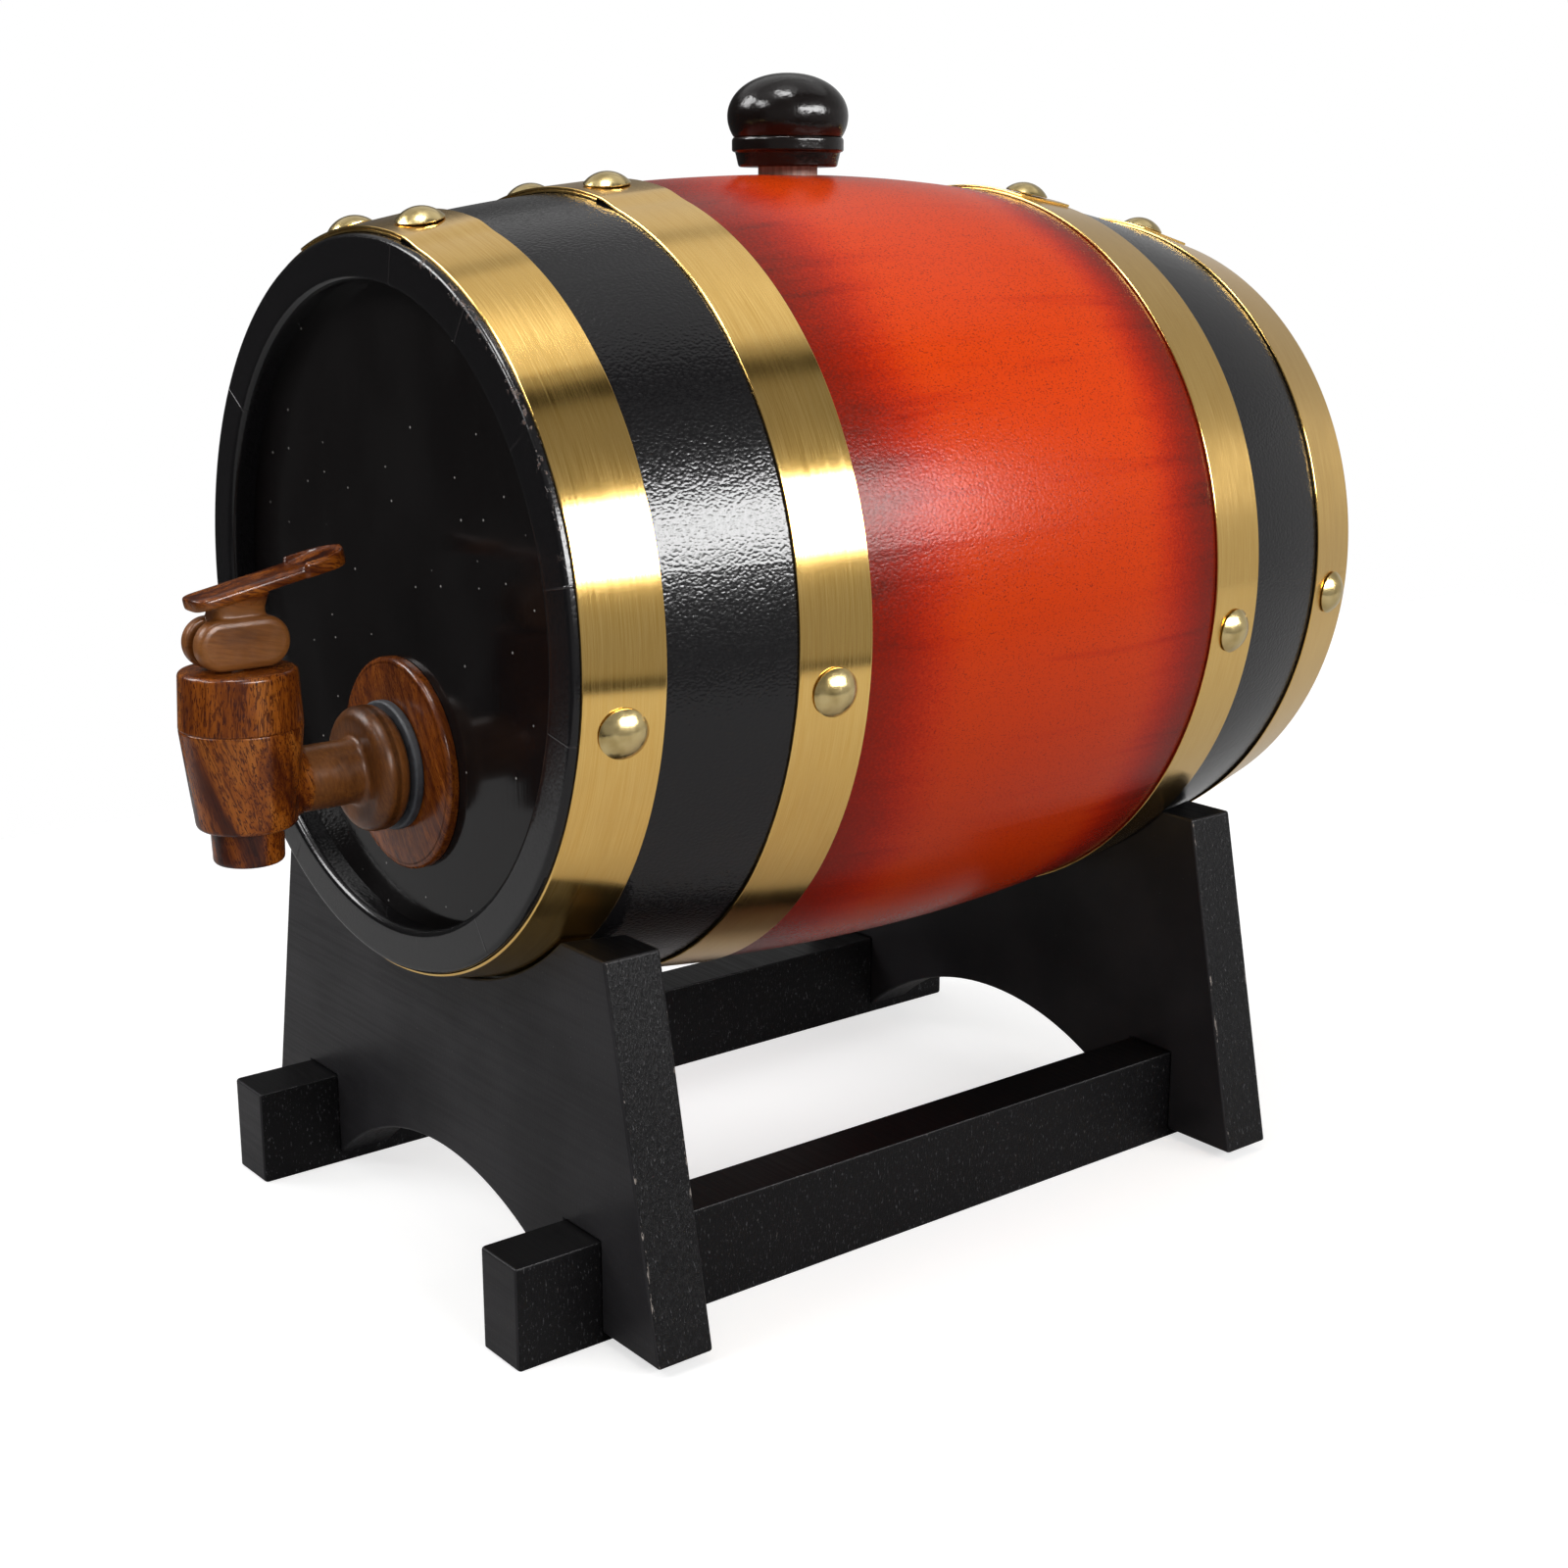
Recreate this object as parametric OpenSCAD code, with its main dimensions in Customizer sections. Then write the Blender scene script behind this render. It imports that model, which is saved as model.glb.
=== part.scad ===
// Oak cask liquor dispenser: a coopered cask on a two-board stand, with a lever tap and a pull-out stopper.
// Millimetres. +Z is up, the cask lies along Y and its tap points along -Y. The floor is z = 0.
// The origin is below the middle of the whole object. "v" is a place along the cask, 0 at its middle.

/* [Cask] */
// Length of the cask over both ends
cask_len = 198; // [190:1:220]
// Radius over the staves at the middle
bilge_r = 77.8; // [75:0.1:80]
// How far the staves draw in towards the front end
front_draw = 11; // [8:0.1:14]
// How far the staves draw in towards the back end
back_draw = 13.4; // [8:0.1:15]
// Thickness of a stave
stave_t = 8; // [7:0.1:9]
// Number of staves
stave_count = 16; // [12:1:18]
// Height of the cask's axis over the floor
axis_z = 126; // [124:0.5:132]
// Depth of a head's face inside the cask's end
head_recess = 5.5; // [4:0.1:8]
// Thickness of a head
head_t = 7; // [5:0.1:9]
// Depth of the groove that holds a head, at its shallow side
croze_depth = 1.5; // [1:0.1:2.5]
// Bevel on the inner edge of the staves' ends
chime_bevel = 1; // [0.5:0.1:1.5]
// Bevel on the outer edge of the staves' ends
chime_edge = 0.6; // [0.3:0.1:0.9]

/* [Hoops] */
// Width of a hoop
hoop_w = 14.5; // [10:0.5:15.5]
// Thickness of the hoop strip
hoop_t = 0.5; // [0.4:0.1:1.5]
// Distance from a cask end to the end hoop's edge
end_hoop_inset = 1.3; // [0.5:0.1:2]
// Distance from the cask's middle to the middle of an inner hoop
inner_hoop_v = 51.5; // [44:0.5:51.5]
// Radius of a rivet's head
rivet_head_r = 4.4; // [3:0.1:4.6]
// Height of a rivet's head
rivet_head_h = 2.3; // [1.5:0.1:3]
// Radius of a rivet's shank
rivet_shank_r = 1.3; // [0.8:0.1:1.8]
// Depth of a rivet's shank below its head
rivet_depth = 5; // [3:0.5:6]
// Angle from the top of each hoop's upper right rivet, front hoop first
top_rivets = [7, 6.5, 9.5, 8]; // [4:0.5:10]
// Angle from the top of each hoop's right-hand rivet, front hoop first
side_rivets = [99.5, 96.5, 97.5, 96]; // [90:0.5:100]

/* [Stopper] */
// Place of the bung hole along the cask
bung_v = -2.5; // [-20:0.5:20]
// Radius of the stopper's plug
plug_r = 5.9; // [4:0.1:7.5]
// Depth of the plug below the cask's top
plug_reach = 11; // [9:0.5:16]
// Gap between the knob and the cask
knob_gap = 1.4; // [1:0.1:6]
// Radius of the knob
knob_r = 12; // [10.5:0.1:16]
// Height of the knob
knob_h = 17.9; // [15:0.1:22]

/* [Tap] */
// Gap between the plate behind the tap and the staves' inner edge below it
plate_gap = 10; // [2:0.1:16]
// Distance from the head's face to the valve's axis
tap_reach = 32; // [30:0.5:40]
// Radius of the wooden plate behind the tap
plate_r = 20; // [15:0.5:23]
// Thickness of that plate
plate_t = 2.6; // [1.5:0.1:4]
// Thickness of the outer rubber washer
washer_t = 1.8; // [1:0.1:2.5]
// Radius of the tap's collar
collar_r = 11.7; // [9:0.1:14]
// Length of the tap's collar
collar_l = 6.2; // [5:0.1:8]
// Radius of the tap's stem and shank
stem_r = 6; // [5:0.1:6.5]
// Radius of the valve body at its seam
valve_r = 10.9; // [10.5:0.1:13]
// Radius of the valve body at its bottom
valve_low_r = 8.8; // [8.6:0.1:10]
// Radius of the nozzle
nozzle_r = 6.5; // [5:0.1:7.5]
// Radius of the nozzle's outlet
outlet_r = 3.5; // [2.5:0.1:4]

/* [Lever] */
// Width of the lever
lever_w = 8.8; // [8:0.1:12]
// Reach of the lever behind the valve's axis
lever_back = 21.5; // [18:0.5:26]
// Reach of the lever before the valve's axis
lever_front = 8.2; // [6:0.1:9]
// Slope of the lever's paddle at rest, in degrees
lever_slope = 11.5; // [0:0.5:20]
// Thickness of the paddle
paddle_t = 2.3; // [1.8:0.1:3]
// Length of a cam
cam_l = 17.4; // [14:0.1:20]
// Height of a cam
cam_h = 9.2; // [8.5:0.1:10]

/* [Stand] */
// Width of a rail
rail_w = 11.7; // [9:0.1:14]
// Height of a rail
rail_h = 19.7; // [15:0.1:24]
// Distance between the rails' outer faces
stand_w = 111.8; // [100:0.1:116]
// Length of the rails in front of the front board
rail_front = 17.5; // [8:0.5:30]
// Length of the rails behind the back board
rail_back = 12.3; // [8:0.1:30]
// Thickness of a board
board_t = 11.8; // [9:0.1:16]
// Width of a board at its foot
foot_w = 147.2; // [140:0.1:160]
// Width of a board at its top
horn_w = 118; // [110:0.1:124]
// Height of a board's top over the floor
horn_z = 72.8; // [66:0.1:76]
// Height of a board's foot over the floor
foot_lift = 2; // [1:0.1:4]
// Height of the arch between the rails
arch_h = 17; // [8:0.5:24]
// Gap between the back board and the inner hoop before it
board_gap = 0.5; // [0.3:0.1:4]

/* [Hidden] */
// Clearances: a sliding or turning fit, a fixed pin in its hole, a loose seat
run_gap = 0.06;
pin_gap = 0.05;
seat_gap = 0.3;
// How far a cut runs past a face
cut = 1;
full_turn = 360;
fine = 96;
arc_fine = 720;

// Places along Y: the cask and the tap balance about the origin
half_len = cask_len / 2;
tap_front = half_len - head_recess + tap_reach + valve_r;
tap_drop = bilge_r - front_draw - stave_t - plate_gap - plate_r;
cask_y = (tap_front - half_len) / 2;
front_face_y = cask_y - half_len + head_recess;
tap_y = front_face_y - tap_reach;
tap_z = axis_z - tap_drop;

// The staves' outline is one arc from the middle to each end
stave_step = full_turn / stave_count;
function draw_in(side) = side < 0 ? front_draw : back_draw;
function end_r(side) = bilge_r - draw_in(side);
function arc_r(side) = (half_len * half_len + draw_in(side) * draw_in(side)) / (2 * draw_in(side));
function side_of(v) = v < 0 ? -1 : 1;
function cask_r(v) = let (r = arc_r(side_of(v))) bilge_r - r + sqrt(r * r - v * v);
function head_v(side) = side * (half_len - head_recess);
function head_low(side) = head_v(side) - (side > 0 ? head_t : 0);
function head_r(side) = cask_r(head_v(side) - side * head_t) - stave_t + croze_depth;

// Hoops: the middle of each, from front to back, and the strip's radii
hoop_seat = 0.1;
end_hoop_v = half_len - end_hoop_inset - hoop_w / 2;
hoop_places = [-end_hoop_v, -inner_hoop_v, inner_hoop_v, end_hoop_v];
function strip_r(v) = cask_r(v) + hoop_seat;
function strip_slope(v) = atan((strip_r(v + hoop_w / 2) - strip_r(v - hoop_w / 2)) / hoop_w);
function rivet_angles(n) = [-82, -14.5, top_rivets[n], side_rivets[n]];
lap_from = -20;
lap_to = 14;
function is_lapped(angle) = angle > lap_from && angle < lap_to;
rivet_hole_r = rivet_shank_r + pin_gap;

// Stopper: the plug runs up into the knob
plug_socket = 8;
plug_bevel = 1;
bung_r = plug_r + run_gap;
knob_z = bilge_r + knob_gap;
neck_r = knob_r - 2.2;
bead_r = knob_r - 0.9;
taper_h = 2.9;
bead_h = 2.9;
groove_r = bead_r - 0.3;
ball_low = 3.9;

// Tap, upwards from the stem's axis
shank_bore_r = 3.2;
shank_end = 3;
gasket_t = 2;
gasket_r = 10;
nut_h = 6;
nut_r = 10.4;
valve_floor = 4;
valve_low = 6.8;
nozzle_l = 6.5;
seam_z = 11.5;
cap_h = 10.3;
cap_top_r = valve_r - 0.5;
cap_plate = 2.8;
cap_plug_l = 4;
cavity_r = valve_low_r - 1.8;
cap_bore_r = cavity_r - 1.6;
collar_round = 2.4;
edge_round = 0.9;
seal_t = 3;
seal_r = outlet_r + 1.5;
nipple_r = 1.5;
nipple_l = 2;
flange_r = seal_r - 0.4;
flange_t = 1.4;
spindle_r = 1.1;
spring_r = cap_bore_r - 1.3;
wire_r = 0.4;
spring_turns = 8;
spring_rings = 12;
wire_sides = 6;
cap_z = seam_z + cap_h;
cap_plate_z = cap_z - cap_plate;
spring_low = -valve_floor + seal_t + flange_t;

// Lever, seen from its pivot
cam_seat = 0.25;
cam_round = cam_h / 2;
cam_half = cam_l / 2 - cam_round;
pivot_up = cap_z + cam_seat + cam_round;
slot_w = 2 * spindle_r + 0.3;
bar_r = 1.3;
bar_l = slot_w + 4;
neck_back = 5.3;
neck_front = 4.9;
neck_w = lever_w - 1.4;
paddle_up = 7.6;
pad_up = 1;
pad_from = 12.4;
pad_w = lever_w + 0.8;
pad_rim = 1;
tip_r = 2.6;

// Stand
front_board_y = cask_y - half_len + end_hoop_inset + hoop_w;
back_board_y = cask_y + inner_hoop_v + hoop_w / 2 + board_gap + board_t / 2;
rail_y = front_board_y - board_t / 2 - rail_front;
rail_l = back_board_y + board_t / 2 + rail_back - rail_y;
rail_x = (stand_w - rail_w) / 2;
arch_half = stand_w / 2 - rail_w;
arch_r = (arch_half * arch_half + arch_h * arch_h) / (2 * arch_h);
screw_r = 1.8;
screw_head_r = 3.6;
screw_head_h = 2.4;
screw_l = 38;

stave_nodes = [for (i = [0 : stave_count - 1]) str("stave_", i + 1)];

// Colours
lacquer = [0.04, 0.035, 0.035];
stain = [0.78, 0.2, 0.05];
brass = [0.76, 0.6, 0.33];
light_wood = [0.8, 0.6, 0.4];
print_wood = [0.62, 0.32, 0.12];
rubber = [0.32, 0.34, 0.38];
steel = [0.7, 0.7, 0.7];
plastic = [0.88, 0.87, 0.84];

// Points of an arc about a centre, from one angle to another
function arc(centre, r, from, to, steps = 6) =
    [for (i = [0 : steps]) let (a = from + (to - from) * i / steps) centre + r * [cos(a), sin(a)]];

// Points of a flattened ball's side, of one height above its centre and another below
function ball(r, z, up, down, from, steps = 18) =
    [for (i = [0 : steps]) let (a = from + (90 - from) * i / steps)
        [r * cos(a), z + (a < 0 ? down : up) * sin(a)]];

// Frames: along the cask's axis, at an angle from its top, on the tap's stem and on the valve's axis
module on_cask() translate([0, cask_y, axis_z]) children();
module about_cask(from = 0, to = full_turn)
    on_cask() rotate([-90, 0, 0]) rotate([0, 0, from - 90])
        rotate_extrude(angle = to - from, $fn = fine * 2) children();
module on_surface(v, angle, r) on_cask() rotate([0, angle, 0]) translate([0, v, r]) children();
module on_stem() translate([0, front_face_y, tap_z]) rotate([90, 0, 0]) children();
module on_valve() translate([0, tap_y, tap_z]) children();

// Half of a stave's section, in radius and place along the cask
module half_section(side) {
    r = arc_r(side);
    outer_end = end_r(side);
    inner_end = outer_end - stave_t;
    difference() {
        intersection() {
            translate([bilge_r - r, 0]) circle(r = r, $fn = arc_fine);
            translate([0, side < 0 ? -half_len : 0]) square([bilge_r + cut, half_len]);
        }
        translate([bilge_r - r, 0]) circle(r = r - stave_t, $fn = arc_fine);
        translate([0, head_low(side) - pin_gap]) square([head_r(side) + pin_gap, head_t + 2 * pin_gap]);
        polygon([
            [inner_end - cut, side * (half_len - chime_bevel - cut)],
            [inner_end - cut, side * (half_len + cut)],
            [inner_end + chime_bevel + cut, side * (half_len + cut)],
        ]);
        polygon([
            [outer_end + cut, side * (half_len - chime_edge - cut)],
            [outer_end + cut, side * (half_len + cut)],
            [outer_end - chime_edge - cut, side * (half_len + cut)],
        ]);
    }
}

// Where a rivet of hoop n sits, on the strip's first layer
module at_rivet(n, angle) {
    v = hoop_places[n];
    on_surface(v, angle, strip_r(v) + hoop_t) rotate([strip_slope(v), 0, 0]) children();
}

module rivet_hole(n, angle) {
    at_rivet(n, angle)
        translate([0, 0, -rivet_depth - pin_gap])
            cylinder(r = rivet_hole_r, h = rivet_depth + 2 * hoop_t + cut, $fn = fine / 2);
}

// Angle between two directions round the cask, from -180 to 180
function turn(a, b) = let (d = a - b) d - full_turn * round(d / full_turn);
function near_stave(i, angle) =
    abs(turn(angle, i * stave_step)) < stave_step / 2 + asin((rivet_hole_r + cut) / end_r(1));

module stave(i) {
    color(stain) difference() {
        about_cask((i - 0.5) * stave_step, (i + 0.5) * stave_step) {
            half_section(-1);
            half_section(1);
        }
        for (n = [0:3], a = rivet_angles(n))
            if (near_stave(i, a)) rivet_hole(n, a);
        if (i == 0) on_surface(bung_v, 0, bilge_r - stave_t - plug_reach)
            cylinder(r = bung_r, h = stave_t + 2 * plug_reach, $fn = fine);
    }
}

module head(side) {
    color(lacquer) difference() {
        on_cask() translate([0, head_low(side), 0]) rotate([-90, 0, 0])
            cylinder(r = head_r(side), h = head_t, $fn = fine * 2);
        if (side < 0) on_stem() translate([0, 0, -head_t - cut])
            cylinder(r = stem_r + pin_gap, h = head_t + 2 * cut, $fn = fine);
    }
}

// Inner radius at a place along a hoop, whose strip lies on the staves like a slice of a cone
function cone_r(v, at) =
    let (a = strip_r(v - hoop_w / 2), b = strip_r(v + hoop_w / 2)) a + (b - a) * (at - v + hoop_w / 2) / hoop_w;

// Section of a hoop's strip between two distances from its inner face, running past both edges if asked
module strip_section(v, from, to, past = 0) {
    a = v - hoop_w / 2 - past;
    b = v + hoop_w / 2 + past;
    polygon([[cone_r(v, a) + from, a], [cone_r(v, b) + from, b], [cone_r(v, b) + to, b], [cone_r(v, a) + to, a]]);
}

// A strip of two layers where its ends lap, and of one elsewhere
module hoop(n) {
    v = hoop_places[n];
    color(brass) difference() {
        about_cask() strip_section(v, 0, 2 * hoop_t);
        about_cask(lap_to, full_turn + lap_from) strip_section(v, hoop_t, 2 * hoop_t + cut, cut);
        for (a = rivet_angles(n)) rivet_hole(n, a);
    }
}

module rivet() {
    dome_r = (rivet_head_r * rivet_head_r + rivet_head_h * rivet_head_h) / (2 * rivet_head_h);
    intersection() {
        translate([0, 0, rivet_head_h - dome_r]) sphere(r = dome_r, $fn = fine / 2);
        cylinder(r = rivet_head_r + cut, h = rivet_head_h + cut, $fn = fine / 2);
    }
    translate([0, 0, -rivet_depth]) cylinder(r = rivet_shank_r, h = rivet_depth + rivet_head_h / 2, $fn = fine / 2);
}

module rivets(n) {
    color(brass) for (a = rivet_angles(n))
        at_rivet(n, a) translate([0, 0, (is_lapped(a) ? hoop_t : 0) + pin_gap]) rivet();
}

// Knob: a tapered neck, a bead, a groove and a flattened ball, turned in one piece
module stopper_knob() {
    bead_top = taper_h + bead_h;
    ball_z = bead_top + ball_low;
    low_angle = acos(groove_r / knob_r);
    color(lacquer) on_surface(bung_v, 0, knob_z) difference() {
        rotate_extrude($fn = fine) polygon(concat(
            [[0, 0], [neck_r, 0], [neck_r + (bead_r - neck_r) / 2, taper_h], [bead_r, taper_h + pin_gap]],
            arc([bead_r - edge_round, bead_top - edge_round], edge_round, 0, 70),
            ball(knob_r, ball_z, knob_h - ball_z, ball_low / sin(low_angle), -low_angle)
        ));
        translate([0, 0, -cut]) cylinder(r = plug_r + pin_gap, h = plug_socket + cut, $fn = fine);
    }
}

module stopper_plug() {
    length = plug_reach + knob_gap + plug_socket;
    color(light_wood) on_surface(bung_v, 0, bilge_r - plug_reach) {
        cylinder(r1 = plug_r - plug_bevel, r2 = plug_r, h = plug_bevel, $fn = fine);
        translate([0, 0, plug_bevel]) cylinder(r = plug_r, h = length - plug_bevel, $fn = fine);
    }
}

module ring(r, bore, h) difference() {
    cylinder(r = r, h = h, $fn = fine);
    translate([0, 0, -cut]) cylinder(r = bore, h = h + 2 * cut, $fn = fine);
}

module tap_plate() {
    color(print_wood) on_stem() rotate_extrude($fn = fine) polygon(concat(
        [[stem_r + pin_gap, 0], [plate_r, 0]],
        arc([plate_r - edge_round, plate_t - edge_round], edge_round, 0, 90),
        [[stem_r + pin_gap, plate_t]]
    ));
}

module tap_washer() {
    color(rubber) on_stem() translate([0, 0, plate_t]) ring(collar_r + edge_round / 2, stem_r + pin_gap, washer_t);
}

module tap_gasket() {
    color(rubber) on_stem() translate([0, 0, -head_t - gasket_t]) ring(gasket_r, stem_r + pin_gap, gasket_t);
}

module tap_nut() {
    color(plastic) on_stem() translate([0, 0, -head_t - gasket_t - nut_h]) difference() {
        cylinder(r = nut_r, h = nut_h, $fn = 6);
        translate([0, 0, -cut]) cylinder(r = stem_r + pin_gap, h = nut_h + 2 * cut, $fn = fine);
    }
}

// Collar, stem and shank along the stem, then the valve's lower half with its nozzle
module tap_body() {
    collar_from = plate_t + washer_t;
    shank_to = -head_t - gasket_t - nut_h - shank_end;
    floor_z = -valve_floor;
    nozzle_z = -valve_low - nozzle_l;
    color(print_wood) difference() {
        union() {
            on_stem() translate([0, 0, shank_to]) cylinder(r = stem_r, h = tap_reach - shank_to, $fn = fine);
            on_stem() rotate_extrude($fn = fine) polygon(concat(
                [[0, collar_from]],
                arc([collar_r - collar_round, collar_from + collar_round], collar_round, -90, 0),
                arc([collar_r - collar_round, collar_from + collar_l - collar_round], collar_round, 0, 90),
                [[0, collar_from + collar_l]]
            ));
            on_valve() rotate_extrude($fn = fine) polygon(concat(
                [[0, nozzle_z]],
                arc([nozzle_r - edge_round, nozzle_z + edge_round], edge_round, -90, 0),
                [[nozzle_r, -valve_low]],
                arc([valve_low_r - edge_round, edge_round - valve_low], edge_round, -90, 0),
                [[valve_r, seam_z], [0, seam_z]]
            ));
        }
        on_stem() translate([0, 0, shank_to - cut])
            cylinder(r = shank_bore_r, h = tap_reach - shank_to + cut, $fn = fine);
        on_valve() translate([0, 0, floor_z]) cylinder(r = cavity_r, h = seam_z + valve_floor + cut, $fn = fine);
        on_valve() translate([0, 0, nozzle_z - cut])
            cylinder(r = outlet_r, h = floor_z - nozzle_z + 2 * cut, $fn = fine);
    }
}

module tap_cap() {
    color(print_wood) on_valve() difference() {
        union() {
            translate([0, 0, seam_z]) rotate_extrude($fn = fine) polygon(concat(
                [[0, 0], [valve_r, 0]],
                arc([cap_top_r - edge_round, cap_h - edge_round], edge_round, 0, 90),
                [[0, cap_h]]
            ));
            translate([0, 0, seam_z - cap_plug_l])
                cylinder(r = cavity_r - pin_gap, h = cap_plug_l + cut, $fn = fine);
        }
        translate([0, 0, seam_z - cap_plug_l - cut])
            cylinder(r = cap_bore_r, h = cap_plate_z - seam_z + cap_plug_l + cut, $fn = fine);
        translate([0, 0, seam_z]) cylinder(r = spindle_r + run_gap, h = cap_h + cut, $fn = fine / 2);
    }
}

// Foot, spindle and cross-bar, moulded in one piece
module valve_plunger() {
    foot_z = seal_t - valve_floor;
    color(plastic) on_valve() {
        translate([0, 0, foot_z]) cylinder(r = flange_r, h = flange_t, $fn = fine);
        translate([0, 0, foot_z - nipple_l]) cylinder(r = nipple_r, h = nipple_l + flange_t / 2, $fn = fine / 2);
        translate([0, 0, foot_z]) cylinder(r = spindle_r, h = pivot_up - foot_z, $fn = fine / 2);
        translate([-bar_l / 2, 0, pivot_up]) rotate([0, 90, 0]) cylinder(r = bar_r, h = bar_l, $fn = fine / 2);
    }
}

module valve_seal() {
    color(rubber) on_valve() translate([0, 0, -valve_floor]) difference() {
        cylinder(r = seal_r, h = seal_t, $fn = fine);
        translate([0, 0, seal_t - nipple_l - pin_gap])
            cylinder(r = nipple_r + pin_gap, h = nipple_l + cut, $fn = fine / 2);
    }
}

// Coil spring from the plunger's foot to the cap's plate, one tube swept along a helix
module valve_spring() {
    low = spring_low + wire_r + run_gap;
    high = cap_plate_z - wire_r - run_gap;
    rings = spring_turns * spring_rings;
    points = [for (i = [0 : rings], k = [0 : wire_sides - 1])
        let (a = full_turn * i / spring_rings, b = full_turn * k / wire_sides,
             r = spring_r + wire_r * cos(b), z = low + (high - low) * i / rings + wire_r * sin(b))
        [r * cos(a), r * sin(a), z]];
    sides = [for (i = [0 : rings - 1], k = [0 : wire_sides - 1])
        let (a = i * wire_sides + k, b = i * wire_sides + (k + 1) % wire_sides)
        each [[a, b, a + wire_sides], [b, b + wire_sides, a + wire_sides]]];
    first = [for (k = [1 : wire_sides - 2]) [0, k + 1, k]];
    last = [for (k = [1 : wire_sides - 2]) [rings * wire_sides, rings * wire_sides + k, rings * wire_sides + k + 1]];
    color(steel) on_valve() polyhedron(points = points, faces = concat(sides, first, last));
}

// A cam's outline, a slot with round ends, about the pivot
module cam_outline() {
    square([2 * cam_half, cam_h], center = true);
    for (s = [-1, 1]) translate([s * cam_half, 0]) circle(r = cam_round, $fn = fine / 2);
}

// The paddle's plan between its tip and its round back end
module paddle_plan(from, to, width) {
    translate([-width / 2, from + tip_r]) square([width, to - from - tip_r - width / 2]);
    translate([tip_r - width / 2, from]) square([width - 2 * tip_r, 2 * tip_r]);
    for (s = [-1, 1]) translate([s * (width / 2 - tip_r), from + tip_r]) circle(r = tip_r, $fn = fine / 2);
    translate([0, to - width / 2]) circle(r = width / 2, $fn = fine / 2);
}

module on_paddle() translate([0, 0, paddle_up]) rotate([lever_slope, 0, 0]) children();

// Cams on both sides of the spindle, a neck, and a paddle with a thumb pad dished between its rims
module tap_lever() {
    pad_to = lever_back + (pad_w - lever_w) / 2;
    dish_slope = atan(pad_up / (pad_to - pad_rim - pad_from));
    color(print_wood) on_valve() translate([0, 0, pivot_up]) difference() {
        union() {
            rotate([90, 0, 90]) translate([0, 0, -lever_w / 2])
                linear_extrude(height = lever_w) cam_outline();
            translate([-neck_w / 2, -neck_front, 0])
                cube([neck_w, neck_front + neck_back, paddle_up + paddle_t / 2]);
            on_paddle() {
                linear_extrude(height = paddle_t) paddle_plan(-lever_front, lever_back, lever_w);
                linear_extrude(height = paddle_t + pad_up) intersection() {
                    paddle_plan(-lever_front, pad_to, pad_w);
                    translate([-pad_w, pad_from]) square([2 * pad_w, lever_back]);
                }
            }
        }
        on_paddle() translate([0, pad_from, paddle_t]) rotate([dish_slope, 0, 0]) linear_extrude(height = cam_h)
            translate([0, -pad_from]) paddle_plan(pad_from - 2 * tip_r, pad_to - pad_rim, pad_w - 2 * pad_rim);
        translate([-slot_w / 2, -cam_l, -cam_h])
            cube([slot_w, 2 * cam_l, cam_h + cam_round + cut / 2]);
        translate([-bar_l / 2 - run_gap, 0, 0]) rotate([0, 90, 0])
            cylinder(r = bar_r + run_gap, h = bar_l + 2 * run_gap, $fn = fine / 2);
    }
}

// A board's front view: leaning sides, a saddle for the cask, an arch and two notches for the rails
module board(y, hoop_under) {
    seat = (hoop_under ? hoop_seat + hoop_t : 0) + seat_gap;
    v = y - cask_y;
    color(lacquer) difference() {
        translate([0, y + board_t / 2, 0]) rotate([90, 0, 0]) linear_extrude(height = board_t)
            polygon([[-foot_w / 2, foot_lift], [foot_w / 2, foot_lift], [horn_w / 2, horn_z], [-horn_w / 2, horn_z]]);
        on_cask() translate([0, v - board_t / 2 - cut, 0]) rotate([-90, 0, 0])
            cylinder(r1 = cask_r(v - board_t / 2 - cut) + seat, r2 = cask_r(v + board_t / 2 + cut) + seat,
                     h = board_t + 2 * cut, $fn = fine * 2);
        translate([0, y - board_t / 2 - cut, foot_lift + arch_h - arch_r]) rotate([-90, 0, 0])
            cylinder(r = arch_r, h = board_t + 2 * cut, $fn = fine * 2);
        for (s = [-1, 1]) {
            translate([s * rail_x - rail_w / 2, y - board_t, -cut]) cube([rail_w, 2 * board_t, rail_h + cut]);
            translate([s * rail_x, y, 0]) cylinder(r = screw_r + pin_gap, h = screw_l + pin_gap, $fn = fine / 2);
        }
    }
}

module rail(side) {
    color(lacquer) difference() {
        translate([side * rail_x - rail_w / 2, rail_y, 0]) cube([rail_w, rail_l, rail_h]);
        for (y = [front_board_y, back_board_y]) translate([side * rail_x, y, 0]) {
            translate([0, 0, -cut]) cylinder(r = screw_r + pin_gap, h = rail_h + 2 * cut, $fn = fine / 2);
            cylinder(r1 = screw_head_r + pin_gap, r2 = screw_r + pin_gap, h = screw_head_h, $fn = fine / 2);
        }
    }
}

module stand_screws() {
    color(steel) for (s = [-1, 1], y = [front_board_y, back_board_y]) translate([s * rail_x, y, 0]) {
        cylinder(r1 = screw_head_r, r2 = screw_r, h = screw_head_h, $fn = fine / 2);
        translate([0, 0, screw_head_h / 2]) cylinder(r = screw_r, h = screw_l - screw_head_h / 2, $fn = fine / 2);
    }
}

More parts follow.
